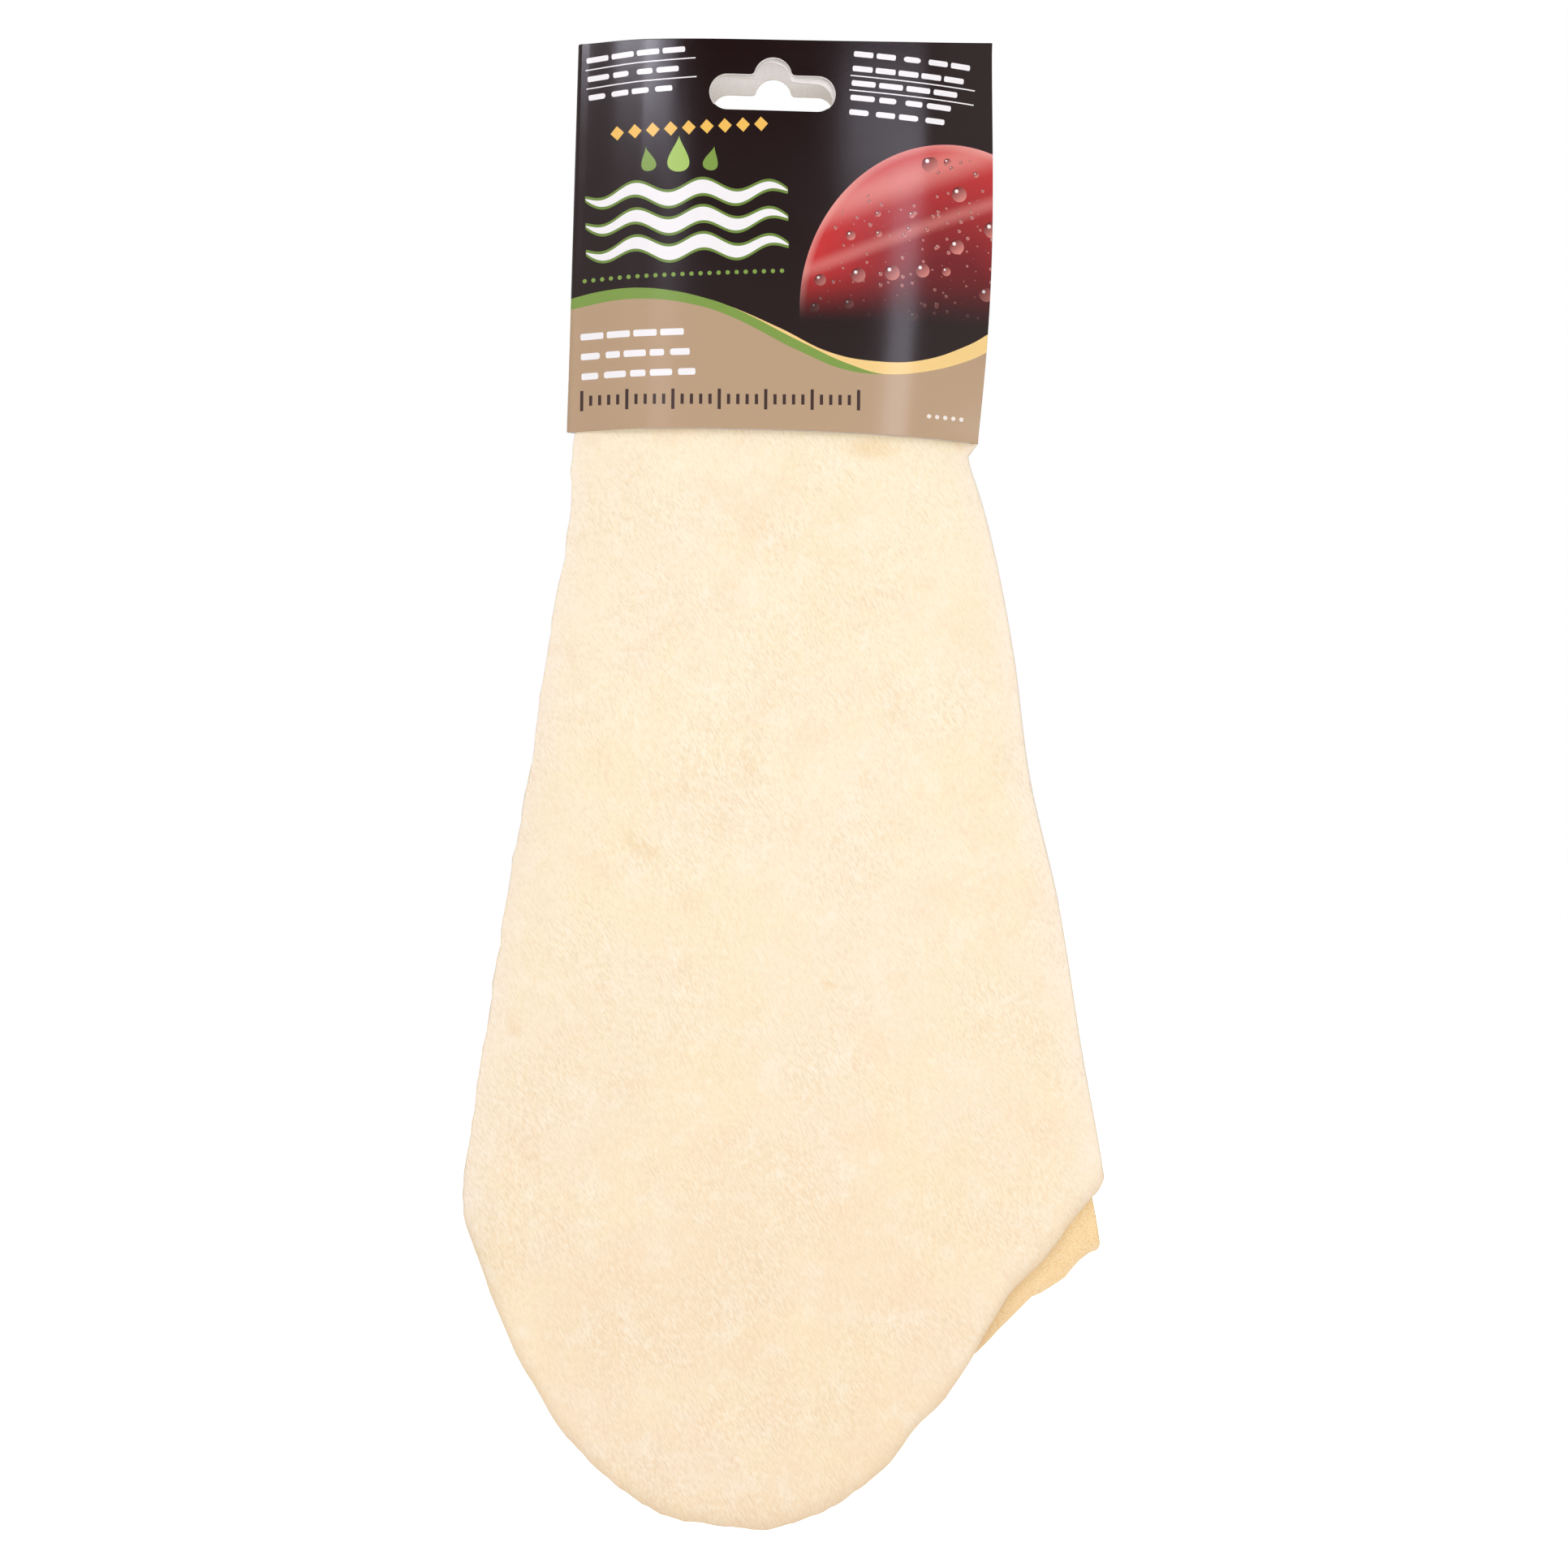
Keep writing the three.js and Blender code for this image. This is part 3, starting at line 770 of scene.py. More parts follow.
def along(places, values, at):
    """A smooth line through a table: between two points a cubic whose slopes are those of the
    chords over the neighbouring points."""
    places, values = np.asarray(places, float), np.asarray(values, float)
    number = np.arange(len(places))
    before, after = np.maximum(number - 1, 0), np.minimum(number + 1, len(places) - 1)
    slope = (values[after] - values[before]) / (places[after] - places[before])
    at = np.clip(at, places[0], places[-1])
    k = np.clip(np.searchsorted(places, at) - 1, 0, len(places) - 2)
    span = places[k + 1] - places[k]
    t = (at - places[k]) / span
    rise = t * t * (3 - 2 * t) * (values[k + 1] - values[k])
    return values[k] + rise + span * t * (1 - t) * ((1 - t) * slope[k] - t * slope[k + 1])


def stack_at(z):
    """The stack at each height: its middle, half width, free edges, fullness and inner folds.
    In the sleeve it keeps the mouth's size, and below it spreads with the hide's outline."""
    below = smooth(mouth_z - z, 0, mouth_flare)
    fulled = smooth(mouth_z - z, 0, fulling_length)
    down = (skin_crown - z) / skin_drop
    left = skin_half_width * along(edge_at, left_shares, down)
    right = skin_half_width * along(edge_at, right_shares, down)
    free_half = (right - left) / (left_edge_share + right_fold_share)
    free_centre = left + left_edge_share * free_half
    return {
        "centre": sleeve_centre + (free_centre - sleeve_centre) * below,
        "half": sleeve_half_width + (free_half - sleeve_half_width) * below,
        "left": left,
        "right": right,
        "power": fullness_in_sleeve + (fullness_below - fullness_in_sleeve) * fulled,
        "inner": inner_fold_share + (inner_fold_low_share - inner_fold_share) * fulled,
        "lift": outer_ply_lift * fulled,
        "kick": fold_kick_share * smooth(-z, -kick_from, -kick_to),
    }


def ply_ends(ply, stack):
    """Where a ply starts and ends, as places in the stack. The first has the free left edge,
    the first two share the right fold, and the others lie between the inner folds."""
    left = np.where(ply == 0, (stack["left"] - stack["centre"]) / stack["half"], -stack["inner"])
    inner = stack["inner"] + np.where((ply == peeping_ply) | (ply == peeping_ply + 1), stack["kick"], 0)
    right = np.where(ply < 2, (stack["right"] - stack["centre"]) / stack["half"], inner)
    return left, right


def ply_depth(ply, place, stack):
    """How far from the stack's middle plane a ply lies: packed from the wall inwards, with the
    air between plies squeezed out towards the rim, and the outermost ply lifting off."""
    squeeze = np.minimum(1, (place / stack["inner"]) ** 2)
    pitch = ply_pitch + (ply_pitch_at_rim - ply_pitch) * squeeze
    wall = wall_depth * fullness(place, stack["power"]) - fit_clear - skin_thickness / 2
    return wall - ply * pitch + np.where(ply == 0, stack["lift"], 0)


def ragged(run):
    """How far a cut edge strays, in mm, at each mm along it: a sum of waves of changing length."""
    stray = 0
    for height, length, phase, shift, shift_length in cut_waves:
        stray = stray + height * np.sin(run / length + phase + shift * np.sin(run / shift_length))
    return stray


def hide_width_at(ply, share):
    """Where the zigzag's line stands on the flat hide, so that a cut runs on round each fold."""
    turned = np.where(ply % 2, 1 - share, share)
    return 2 * skin_half_width * (ply + turned - share)


def foot_z(ply, share, drop, angle=0.0):
    """The height of a ply's cut lower edge: a line between its corners, less its rounded foot,
    with the corners rounded off to a small radius, round the fold too, and the cut ragged."""
    corners = np.array(corner_shares)
    left = np.where(ply % 2, corners[ply + 1], corners[ply])
    right = np.where(ply % 2, corners[ply], corners[ply + 1])
    curve = along(foot_at, foot_curve, share)
    curve = np.where(ply >= peeping_ply, along(peeping_at, peeping_curve, share), curve)
    level = left + (right - left) * share + np.array(foot_shares)[ply] * curve
    across = share * 2 * skin_half_width
    to_end = np.minimum(share, 1 - share) * 2 * skin_half_width + fold_bulge * (1 - np.sin(angle))
    radius = np.where(ply < peeping_ply, corner_round, peeping_round)
    radius = np.where(share < 0.5, left_corner_round, radius)
    to_end = np.clip(to_end, 0, radius)
    rise = radius - np.sqrt(radius ** 2 - (radius - to_end) ** 2)
    return skin_crown - skin_drop * drop * level + rise + ragged(across + hide_width_at(ply, share))


print("half of the stack is, mm deep:", round(stack_half_depth, 2))

# %% The skin's columns and rows
edge_steps = np.array([0, 0.12, 0.3, 0.6, 1.0, 1.7])
ply_columns = [112, 26, 44, 9, 9, 9]
peeping_crowd = 1.7        # a power that crowds the peeping ply's columns where it shows
bend_steps = 5
held_rows = 7
turn_rows = 7
free_rows = 62


def hide_columns():
    """Each column's ply, its share across and its angle round a fold (0 on a flat ply). Even
    columns fill the ply, and finer steps take their place beside its folds and free edge."""
    ply_of, share_of, angle_of = [], [], []
    near = edge_steps / (2 * skin_half_width)
    for ply in range(plies):
        even = np.linspace(0, 1, ply_columns[ply])[2:-2]
        if ply == peeping_ply:
            even = 1 - (1 - even) ** peeping_crowd
        even = even[(even > near[-1]) & (even < 1 - near[-1])]
        shares = np.concatenate([near, even, 1 - near[::-1]])
        if ply % 2:
            shares = shares[::-1]
        ply_of.extend([ply] * len(shares))
        share_of.extend(shares)
        angle_of.extend([0.0] * len(shares))
        if ply < plies - 1:
            angles = np.linspace(0, math.pi, bend_steps + 2)[1:-1]
            ply_of.extend([ply] * bend_steps)
            share_of.extend([shares[-1]] * bend_steps)
            angle_of.extend(angles)
    return np.array(ply_of), np.array(share_of), np.array(angle_of)


def hide_rows():
    """Each row's kind: its swing round the crosswise fold, its drop share, and how far down the
    hanging length it lies, below 0 inside the sleeve and with fine steps at the cut edge."""
    fine = 1 - edge_steps[::-1] / (skin_drop * corner_shares[0])
    free = np.concatenate([np.linspace(0, 1, free_rows)[:-1], fine])
    held = -np.linspace(0, 1, held_rows + 1)[1:]
    down = np.concatenate([free[::-1], held])
    turn = np.linspace(0, math.pi, turn_rows + 2)[1:-1]
    swing = np.concatenate([np.zeros(len(down)), turn, np.full(len(down), math.pi)])
    drop = np.concatenate([np.ones(len(down)), np.zeros(turn_rows), np.full(len(down), rear_drop_share)])
    return swing, drop, np.concatenate([down, -np.ones(turn_rows), down[::-1]])


ply_of, share_of, angle_of = hide_columns()
swing, drop, down_of = hide_rows()
print("skin grid, rows and columns:", len(swing), len(ply_of))

# %% The skin's middle surface
# Below the sleeve the hide is never flat. Its waves start, and are full, so far below the mouth.
# Each broad wave has its height in mm, the mm for a radian across and down, and its phase. The
# waves of the curl at the foot run across only.
wave_start = 6.0
wave_full = 70.0
broad_waves = ((0.55, 14, 34, 0.7), (0.38, 8.2, -23, 2.1), (0.3, 26, 12.5, 4.2))
curl_waves = ((0.8, 6.3, 0.6), (0.5, 3.7, 2))
curl_reach = 16.0
gather_height = 0.16
gather_length = 2.9
gather_sway, gather_sway_length = 0.8, 9
gather_start, gather_full, gather_gone = 1, 9, 48
# Where the right fold bulges at the mouth: by how much, and from which height to which
bulge_at_mouth = 5.5
bulge_ends = (-100.0, -95.6, -90.0, -45.0)
side_fade = 40             # a power that keeps the free side's ragged edge to its last few mm


def billow(x, z, above_foot):
    """How far the whole stack stands forward or back: broad slanting waves that start below the
    sleeve, shallow gathers just below its mouth, and a curl that dies away above the foot."""
    below = mouth_z - z
    free = smooth(below, wave_start, wave_full)
    broad = sum(height * np.sin(x / wide + z / tall + phase) for height, wide, tall, phase in broad_waves)
    gathers = np.sin(x / gather_length + gather_sway * np.sin(z / gather_sway_length))
    gathers = gathers * smooth(below, gather_start, gather_full)
    gathers = gathers * (1 - smooth(below, gather_full, gather_gone))
    curl = np.exp(-np.clip(above_foot, 0, None) / curl_reach) * free
    lower = sum(height * np.sin(x / wide + phase) for height, wide, phase in curl_waves)
    return broad * free + gather_height * gathers + lower * curl


def hide_middle():
    """The grid of points midway through the leather, in mm."""
    ply = ply_of[None, :]
    share = share_of[None, :]
    foot = foot_z(ply, share, drop[:, None], angle_of[None, :])
    hanging = mouth_z + (foot - mouth_z) * np.clip(down_of, 0, 1)[:, None]
    inside = mouth_z + (turn_z - mouth_z) * np.clip(-down_of, 0, 1)[:, None]
    z = np.where(down_of[:, None] >= 0, hanging, inside)
    stack = stack_at(z)
    low, high, above, gone = bulge_ends
    bulge = bulge_at_mouth * smooth(z, low, high) * (1 - smooth(z, above, gone))
    stack["right"] = stack["right"] + bulge
    left, right = ply_ends(ply, stack)
    strays = np.where(ply == 0, ragged(z) / stack["half"], 0) * (1 - share) ** side_fade
    place = left + (right - left) * share + strays
    depth = ply_depth(ply, place, stack)
    follower = np.minimum(ply + 1, plies - 1)
    radius = (depth - ply_depth(follower, place, stack)) / 2
    side = np.where(ply % 2, -1, 1)
    angle = angle_of[None, :]
    depth = np.where(angle > 0, depth - radius + radius * np.cos(angle), depth)
    x = stack["centre"] + stack["half"] * place + side * radius * np.sin(angle)
    front_share = np.clip((x - stack["left"]) / (stack["right"] - stack["left"]), 0, 1)
    above_foot = z - foot_z(np.zeros_like(ply), front_share, 1.0)
    middle = billow(x, z, above_foot) - fold_ahead * (1 - fullness(place, stack["power"]))
    y = middle - depth * np.cos(swing)[:, None]
    z = z + depth * np.sin(swing)[:, None]
    return xyz(x, y, z)


skin_middle = hide_middle()
print("skin box, mm:", skin_middle.min((0, 1)).round(1), skin_middle.max((0, 1)).round(1))

# %% The skin's two faces and rim
edge_round = 0.6
thinnest_share = 0.15      # of the thickness, where the faces meet at a cut edge


def closed_sheet(name, middle, half):
    """A bent sheet as a closed shell. The two faces lie half[row, column] to each side of the
    middle surface along its normals, and four strips close the rim."""
    normal = np.cross(np.gradient(middle, axis=0), np.gradient(middle, axis=1))
    normal /= np.linalg.norm(normal, axis=-1, keepdims=True)
    faces = [middle + normal * half[..., None], middle - normal * half[..., None]]
    top = np.arange(half.size).reshape(half.shape)
    under = top + half.size
    quads = [grid_quads(top), grid_quads(under)[:, ::-1]]
    rims = [(top[0], under[0]), (under[-1], top[-1])]
    rims += [(under[:, 0], top[:, 0]), (top[:, -1], under[:, -1])]
    for a, b in rims:
        quads.append(grid_quads(np.stack([b, a])))
    points = np.concatenate([face.reshape(-1, 3) for face in faces])
    return add_mesh(name, points, np.concatenate(quads))


def signed_volume(thing):
    """The volume inside a closed mesh, below 0 if its faces point inwards."""
    mesh = thing.data
    mesh.calc_loop_triangles()
    corner = np.zeros(len(mesh.vertices) * 3)
    mesh.vertices.foreach_get("co", corner)
    number = np.zeros(len(mesh.loop_triangles) * 3, np.int32)
    mesh.loop_triangles.foreach_get("vertices", number)
    a, b, c = corner.reshape(-1, 3)[number.reshape(-1, 3)].transpose(1, 0, 2)
    return float(np.einsum("ij,ij->", a, np.cross(b, c))) / 6


foot = foot_z(ply_of[None, :], share_of[None, :], drop[:, None], angle_of[None, :])
to_foot = np.where(down_of[:, None] >= 0, skin_middle[..., 2] - foot, skin_drop)
to_side = np.where(ply_of == 0, share_of * 2 * skin_half_width, skin_drop)[None, :]
to_cut = np.minimum(np.abs(to_foot), to_side)
rounded = np.sqrt(1 - (1 - np.clip(to_cut / edge_round, 0, 1)) ** 2)
half = skin_thickness / 2 * np.maximum(rounded, thinnest_share)
skin = closed_sheet("folded_skin", skin_middle, half)
if signed_volume(skin) < 0:
    skin.data.flip_normals()
print("leather volume, cm3:", round(signed_volume(skin) * 1e6, 1))

# %% What the leather's material asks of its place
cut_band_width = 6.0
side_band_width = 9.0


def mark(thing, name, values):
    """Writes one number for each point of the sheet's middle surface on both its faces."""
    layer = thing.data.attributes.new(name, "FLOAT", "POINT")
    layer.data.foreach_set("value", np.tile(values.reshape(-1), 2).astype(np.float32))


to_fold = np.minimum(share_of, 1 - share_of)[None, :] * 2 * skin_half_width
mark(skin, "near_cut", np.clip(1 - np.abs(to_foot) / cut_band_width, 0, 1))
mark(skin, "near_side", np.broadcast_to(np.clip(1 - to_fold / side_band_width, 0, 1), to_cut.shape))
mark(skin, "inner_ply", np.broadcast_to(ply_of >= peeping_ply, to_cut.shape) * 1.0)
print("marks on the leather:", [layer.name for layer in skin.data.attributes][-3:])

# %% [markdown]
# ## Chamois leather
# The real skin is split sheepskin, tanned in fish oil and buffed on both sides: pale cream, quite
# matt, with a short nap that lies in small slanting strokes. It takes in water, so nothing on it
# shines. The nap could be hair, but single hairs don't show from here. So it is a noise that is
# stretched along its lie and bent by a wider noise, because no hand brushes it all one way. It
# darkens the colour in its grooves and lightens it on its tips, as painted shade and painted highlight, and lifts the
# surface a little.
# Wider noises mottle the cream with pink and yellow, where the hide was thick or thin.

# %% Leather: the lie of the nap
nap_width = 0.46
nap_length = 1.6
nap_lean = math.radians(-30.5)
nap_stray = 5.0            # mm to and fro by which a wider noise bends it
stray_size = 34            # and the size of that noise
fuzz_size = 0.45           # a finer fuzz, which lies no way
patch_size = 22            # of the patches that were buffed down more
patch_levels = (0.35, 0.65)
least_nap = 0.55           # the share of the nap that is left on them
material, tree = new_material("oil_tanned_chamois")
object_at = add(tree, "TexCoord").node.outputs["Object"]
at_mm = add(tree, "VectorMath", {"Vector": object_at, "Scale": 1 / MM}, operation="SCALE")
stray = add(tree, "TexNoise", {"Vector": at_mm, "Scale": 1 / stray_size, "Detail": 1.0})
stray = add(tree, "VectorMath", [stray.node.outputs["Color"], (0.5, 0.5, 0.5)], operation="SUBTRACT")
bent = add(tree, "VectorMath", [stray, (nap_stray,) * 3, at_mm], operation="MULTIPLY_ADD")
lie = add(tree, "Mapping", {"Vector": bent, "Rotation": (0, nap_lean, 0),
                            "Scale": (nap_width, nap_width, nap_length)}, vector_type="TEXTURE")
nap = add(tree, "TexNoise", {"Vector": lie, "Scale": 1.0, "Detail": 2.0, "Roughness": 0.6})
fuzz = add(tree, "TexNoise", {"Vector": at_mm, "Scale": 1 / fuzz_size, "Detail": 2.0, "Roughness": 0.7})
patch = add(tree, "TexNoise", {"Vector": at_mm, "Scale": 1 / patch_size, "Detail": 2.0})
raised = add(tree, "MapRange", [patch, *patch_levels, least_nap, 1.0], interpolation_type="SMOOTHSTEP")
print("nodes for the nap:", len(tree.nodes))

# %% Leather: the cream and its mottling
falloff_start, falloff_full = -150.0, -370.0
mottle_shift_shares = (3.7, 1.0, 1.9)
# Each mottle's size in mm, the levels of its noise at which it starts and is full, its colour and
# its strength
mottles = (
    (38, 0.42, 0.64, "#FDEAD4", 0.35),
    (24, 0.46, 0.66, "#FCE9C3", 0.5),
    (12, 0.50, 0.70, "#F9DFBD", 0.40),
    (9, 0.50, 0.70, "#FFF4E1", 0.35),
)
height_mm = add(tree, "SeparateXYZ", [at_mm]).node.outputs["Z"]
# Painted shade: the cream turns darker and a little yellower towards the foot, where the light falls off
lower = add(tree, "MapRange", [height_mm, falloff_start, falloff_full, 0.0, 1.0], interpolation_type="SMOOTHSTEP")
cream = add(tree, "Mix", {"Factor": lower, "A": colour("#FCEECE"), "B": colour("#F8E1BF")}, data_type="RGBA")
for size, low, high, code, weight in mottles:
    shift = tuple(size * share for share in mottle_shift_shares)
    spread = add(tree, "VectorMath", [at_mm, shift], operation="ADD")
    spots = add(tree, "TexNoise", {"Vector": spread, "Scale": 1 / size, "Detail": 3.0, "Roughness": 0.55})
    much = add(tree, "MapRange", [spots, low, high, 0.0, weight], interpolation_type="SMOOTHSTEP")
    cream = add(tree, "Mix", {"Factor": much, "A": cream, "B": colour(code)}, data_type="RGBA")
print("mottles:", len(mottles))

# %% Leather: faint yellow marks and painted shade
# The first mark paints the shade in the crease beside the sleeve's right corner. The second, a yellow patch just under
# the card's lower edge, is partly a stain and partly the card's painted shadow. The others are faint stains.
# Each mark's place across and up, half width and half height in mm, tilt in degrees and strength
marks_and_painted_shade = (
    (51, -97, 4, 2.2, 50, 0.3),
    (28, -98, 10, 4, 0, 0.5),
    (-28, -201, 9, 4, 40, 0.3),
    (-1, -180, 6, 2.5, 60, 0.3),
    (-59, -249, 4, 2, 50, 0.4),
    (21, -235, 3, 1.2, 20, 0.4),
)
mark_depth = 1000          # right through the leather
mark_core = 0.2
mark_fuzz = (0.1, 0.6)
for x, z, wide, high, tilt, weight in marks_and_painted_shade:
    local = add(tree, "Mapping", {
        "Vector": at_mm, "Location": (x, 0, z), "Rotation": (0, math.radians(tilt), 0),
        "Scale": (wide, mark_depth, high)}, vector_type="TEXTURE")
    out = add(tree, "VectorMath", [local], operation="LENGTH")
    near = add(tree, "MapRange", [out, mark_core, 1.0, weight, 0.0], interpolation_type="SMOOTHSTEP")
    near = add(tree, "Math", [near, add(tree, "MapRange", [fuzz, *mark_fuzz])], operation="MULTIPLY")
    cream = add(tree, "Mix", {"Factor": near, "A": cream, "B": colour("#EBC488")}, data_type="RGBA")
print("faint marks:", len(marks_and_painted_shade))

# %% Leather: painted sheen at the folds, inner plies, nap with painted shade and highlight, painted shade at cut edges
painted_fold_sheen = 0.6
fuzz_levels = (0.28, 0.70)
inner_nap = 0.35           # the share of the nap on the inner plies
# The nap's noise at the bottom of a groove, halfway and at a tip, and how strongly painted shade darkens the grooves
# and a painted highlight lightens the tips
nap_low, nap_middle, nap_high = 0.33, 0.51, 0.69
groove_shade_share, tip_highlight_share = 0.33, 0.5
cut_fade = 1.7             # a power that keeps the darker margin of a cut narrow
cut_shade_share, inner_cut_shade_share = 0.55, 0.25
# Painted highlight: the cream is paler along the folds and the free side edge, for the sheen that the light leaves on
# their rounded margins
side = add(tree, "Attribute", attribute_name="near_side").node.outputs["Fac"]
side = add(tree, "Math", [side, painted_fold_sheen], operation="MULTIPLY")
cream = add(tree, "Mix", {"Factor": side, "A": cream, "B": colour("#FEEFDD")}, data_type="RGBA")
inner = add(tree, "Attribute", attribute_name="inner_ply").node.outputs["Fac"]
rough = add(tree, "MapRange", [fuzz, *fuzz_levels])
hidden = add(tree, "Mix", {"Factor": rough, "A": colour("#FFE9BD"), "B": colour("#F4C888")}, data_type="RGBA")
brushed = add(tree, "MapRange", [inner, 0.0, 1.0, 1.0, inner_nap])
raised = add(tree, "Math", [raised, brushed], operation="MULTIPLY")
cream = add(tree, "Mix", {"Factor": inner, "A": cream, "B": hidden}, data_type="RGBA")
# Painted shade in the nap's grooves and a painted highlight on its tips
painted_groove_shade = add(tree, "MapRange", [nap, nap_middle, nap_low, 0.0, groove_shade_share])
painted_groove_shade = add(tree, "Math", [painted_groove_shade, raised], operation="MULTIPLY")
cream = add(tree, "Mix", {"Factor": painted_groove_shade, "A": cream, "B": colour("#E0C5A0")}, data_type="RGBA")
painted_tip_highlight = add(tree, "MapRange", [nap, nap_middle, nap_high, 0.0, tip_highlight_share])
painted_tip_highlight = add(tree, "Math", [painted_tip_highlight, raised], operation="MULTIPLY")
cream = add(tree, "Mix", {"Factor": painted_tip_highlight, "A": cream, "B": colour("#FFF7E9")}, data_type="RGBA")
# Painted shade: the leather darkens towards a cut foot, where the real thick edge rolls away from the light, less so
# on the inner plies
cut = add(tree, "Attribute", attribute_name="near_cut").node.outputs["Fac"]
cut = add(tree, "Math", [cut, cut_fade], operation="POWER")
cut_shade_weight = add(tree, "MapRange", [inner, 0.0, 1.0, cut_shade_share, inner_cut_shade_share])
shade = add(tree, "Math", [cut, cut_shade_weight], operation="MULTIPLY")
cream = add(tree, "Mix", {"Factor": shade, "A": cream, "B": colour("#D8BC98")}, data_type="RGBA")
print("nodes for the leather's colour:", len(tree.nodes))

# %% Leather: relief and shader
nap_height = 0.16
fuzz_share = 0.3
pile = add(tree, "Math", [nap, raised], operation="MULTIPLY")
pile = add(tree, "Math", [fuzz, fuzz_share, pile], operation="MULTIPLY_ADD")
relief = add(tree, "Bump", {"Strength": 1.0, "Distance": nap_height * MM, "Height": pile})
shader = add(tree, "BsdfPrincipled", {
    "Base Color": cream, "Roughness": 0.95, "Specular IOR Level": 0.2,
    "Sheen Weight": 0.2, "Sheen Roughness": 0.5, "Normal": relief})
add(tree, "OutputMaterial", [shader])
skin.data.materials.append(material)
print("leather nodes:", len(tree.nodes))

# %% [markdown]
# ## Printed, laminated card
# The sleeve is grey-backed box board, printed in several inks and laminated with a clear film. The
# film makes it glossy, and the film and the board's fibres give the gloss a faint unevenness.
# The print could be a picture. Here it is worked out from the place on the card, in millimetres,
# so it stays sharp at any distance. Each ink has a stencil, a number that is 1 inside its shape
# and 0 outside, and the inks are laid over each other in turn. Three smooth curves bound the bands
# that sweep across the lower part.

# %% Print: the field and its bands
# Each edge's points: mm across, and mm below the slot's crown
bands_left, bands_span, bands_depth = -51.0, 110.0, 100.0
field_edge = [(-50.1, 61.3), (-42.4, 59.7), (-32.2, 59.0), (-23.6, 59.7), (-17.0, 61.0),
              (-9.5, 63.2), (3.5, 68.4), (17.1, 74.4), (28.5, 76.1), (39.6, 75.4), (51.1, 71.1),
              (56.9, 67.5)]
yellow_edge = [*field_edge[:6], (9.6, 72.0), (20.8, 76.8), (30.8, 79.3), (39.7, 78.4),
               (51.2, 75.0), (57.0, 72.0)]
green_edge = [(-50.0, 64.1), (-32.1, 61.8), (-16.9, 63.4), (-9.4, 65.7), (9.6, 74.5), (20.9, 78.6),
              (30.8, 79.3), (39.7, 78.4), (51.2, 75.0), (57.0, 72.0)]
tree = bpy.data.materials["printed_laminate"].node_tree
object_at = add(tree, "TexCoord").node.outputs["Object"]
at_mm = add(tree, "VectorMath", {"Vector": object_at, "Scale": 1 / MM}, operation="SCALE")
x_mm, y_mm, z_mm = add(tree, "SeparateXYZ", [at_mm]).node.outputs
across = add(tree, "MapRange", [x_mm, bands_left, bands_left + bands_span])
ink = colour("#1D0B0B")
for edge, code in ((field_edge, "#F4D089"), (yellow_edge, "#7F9D48"), (green_edge, "#BA9D7E")):
    line = add(tree, "FloatCurve", {"Value": across}).node
    curve = line.mapping.curves[0]
    stops = [((x - bands_left) / bands_span, depth / bands_depth) for x, depth in edge]
    for stop in stops[1:-1]:
        curve.points.new(*stop)
    curve.points[0].location, curve.points[-1].location = stops[0], stops[-1]
    line.mapping.update()
    below = add(tree, "Math", [line.outputs[0], bands_depth, z_mm], operation="MULTIPLY_ADD")
    below = add(tree, "Math", [below, 0.0], operation="LESS_THAN")
    ink = add(tree, "Mix", {"Factor": below, "A": ink, "B": colour(code)}, data_type="RGBA")
print("points in the bands' edges:", len(field_edge), len(yellow_edge), len(green_edge))

# %% [markdown]
# The rest of the print is plain ornament, on the front only: rows of bars with rules between them,
# a row of diamonds, drops, waves, dots and a scale of ticks. Each is a distance worked out in a
# local frame, with u along its row and v up from it, which one Mapping node turns and centres.

# %% Print: rows of bars and rules
front_limit = -3.3         # ahead of this is the front panel, and behind it the rear one
rule_half = 0.15
bar_pitch = 6.4
bar_gap = 1.3
bar_round = 0.55
bar_sway = 0.1
lowest_row_turns = 2       # of the sway, and one turn more in each row above
on_front = add(tree, "Math", [y_mm, front_limit], operation="LESS_THAN")
on_back = add(tree, "Math", [y_mm, front_limit], operation="GREATER_THAN")
white_ink = "#F6F3F4"
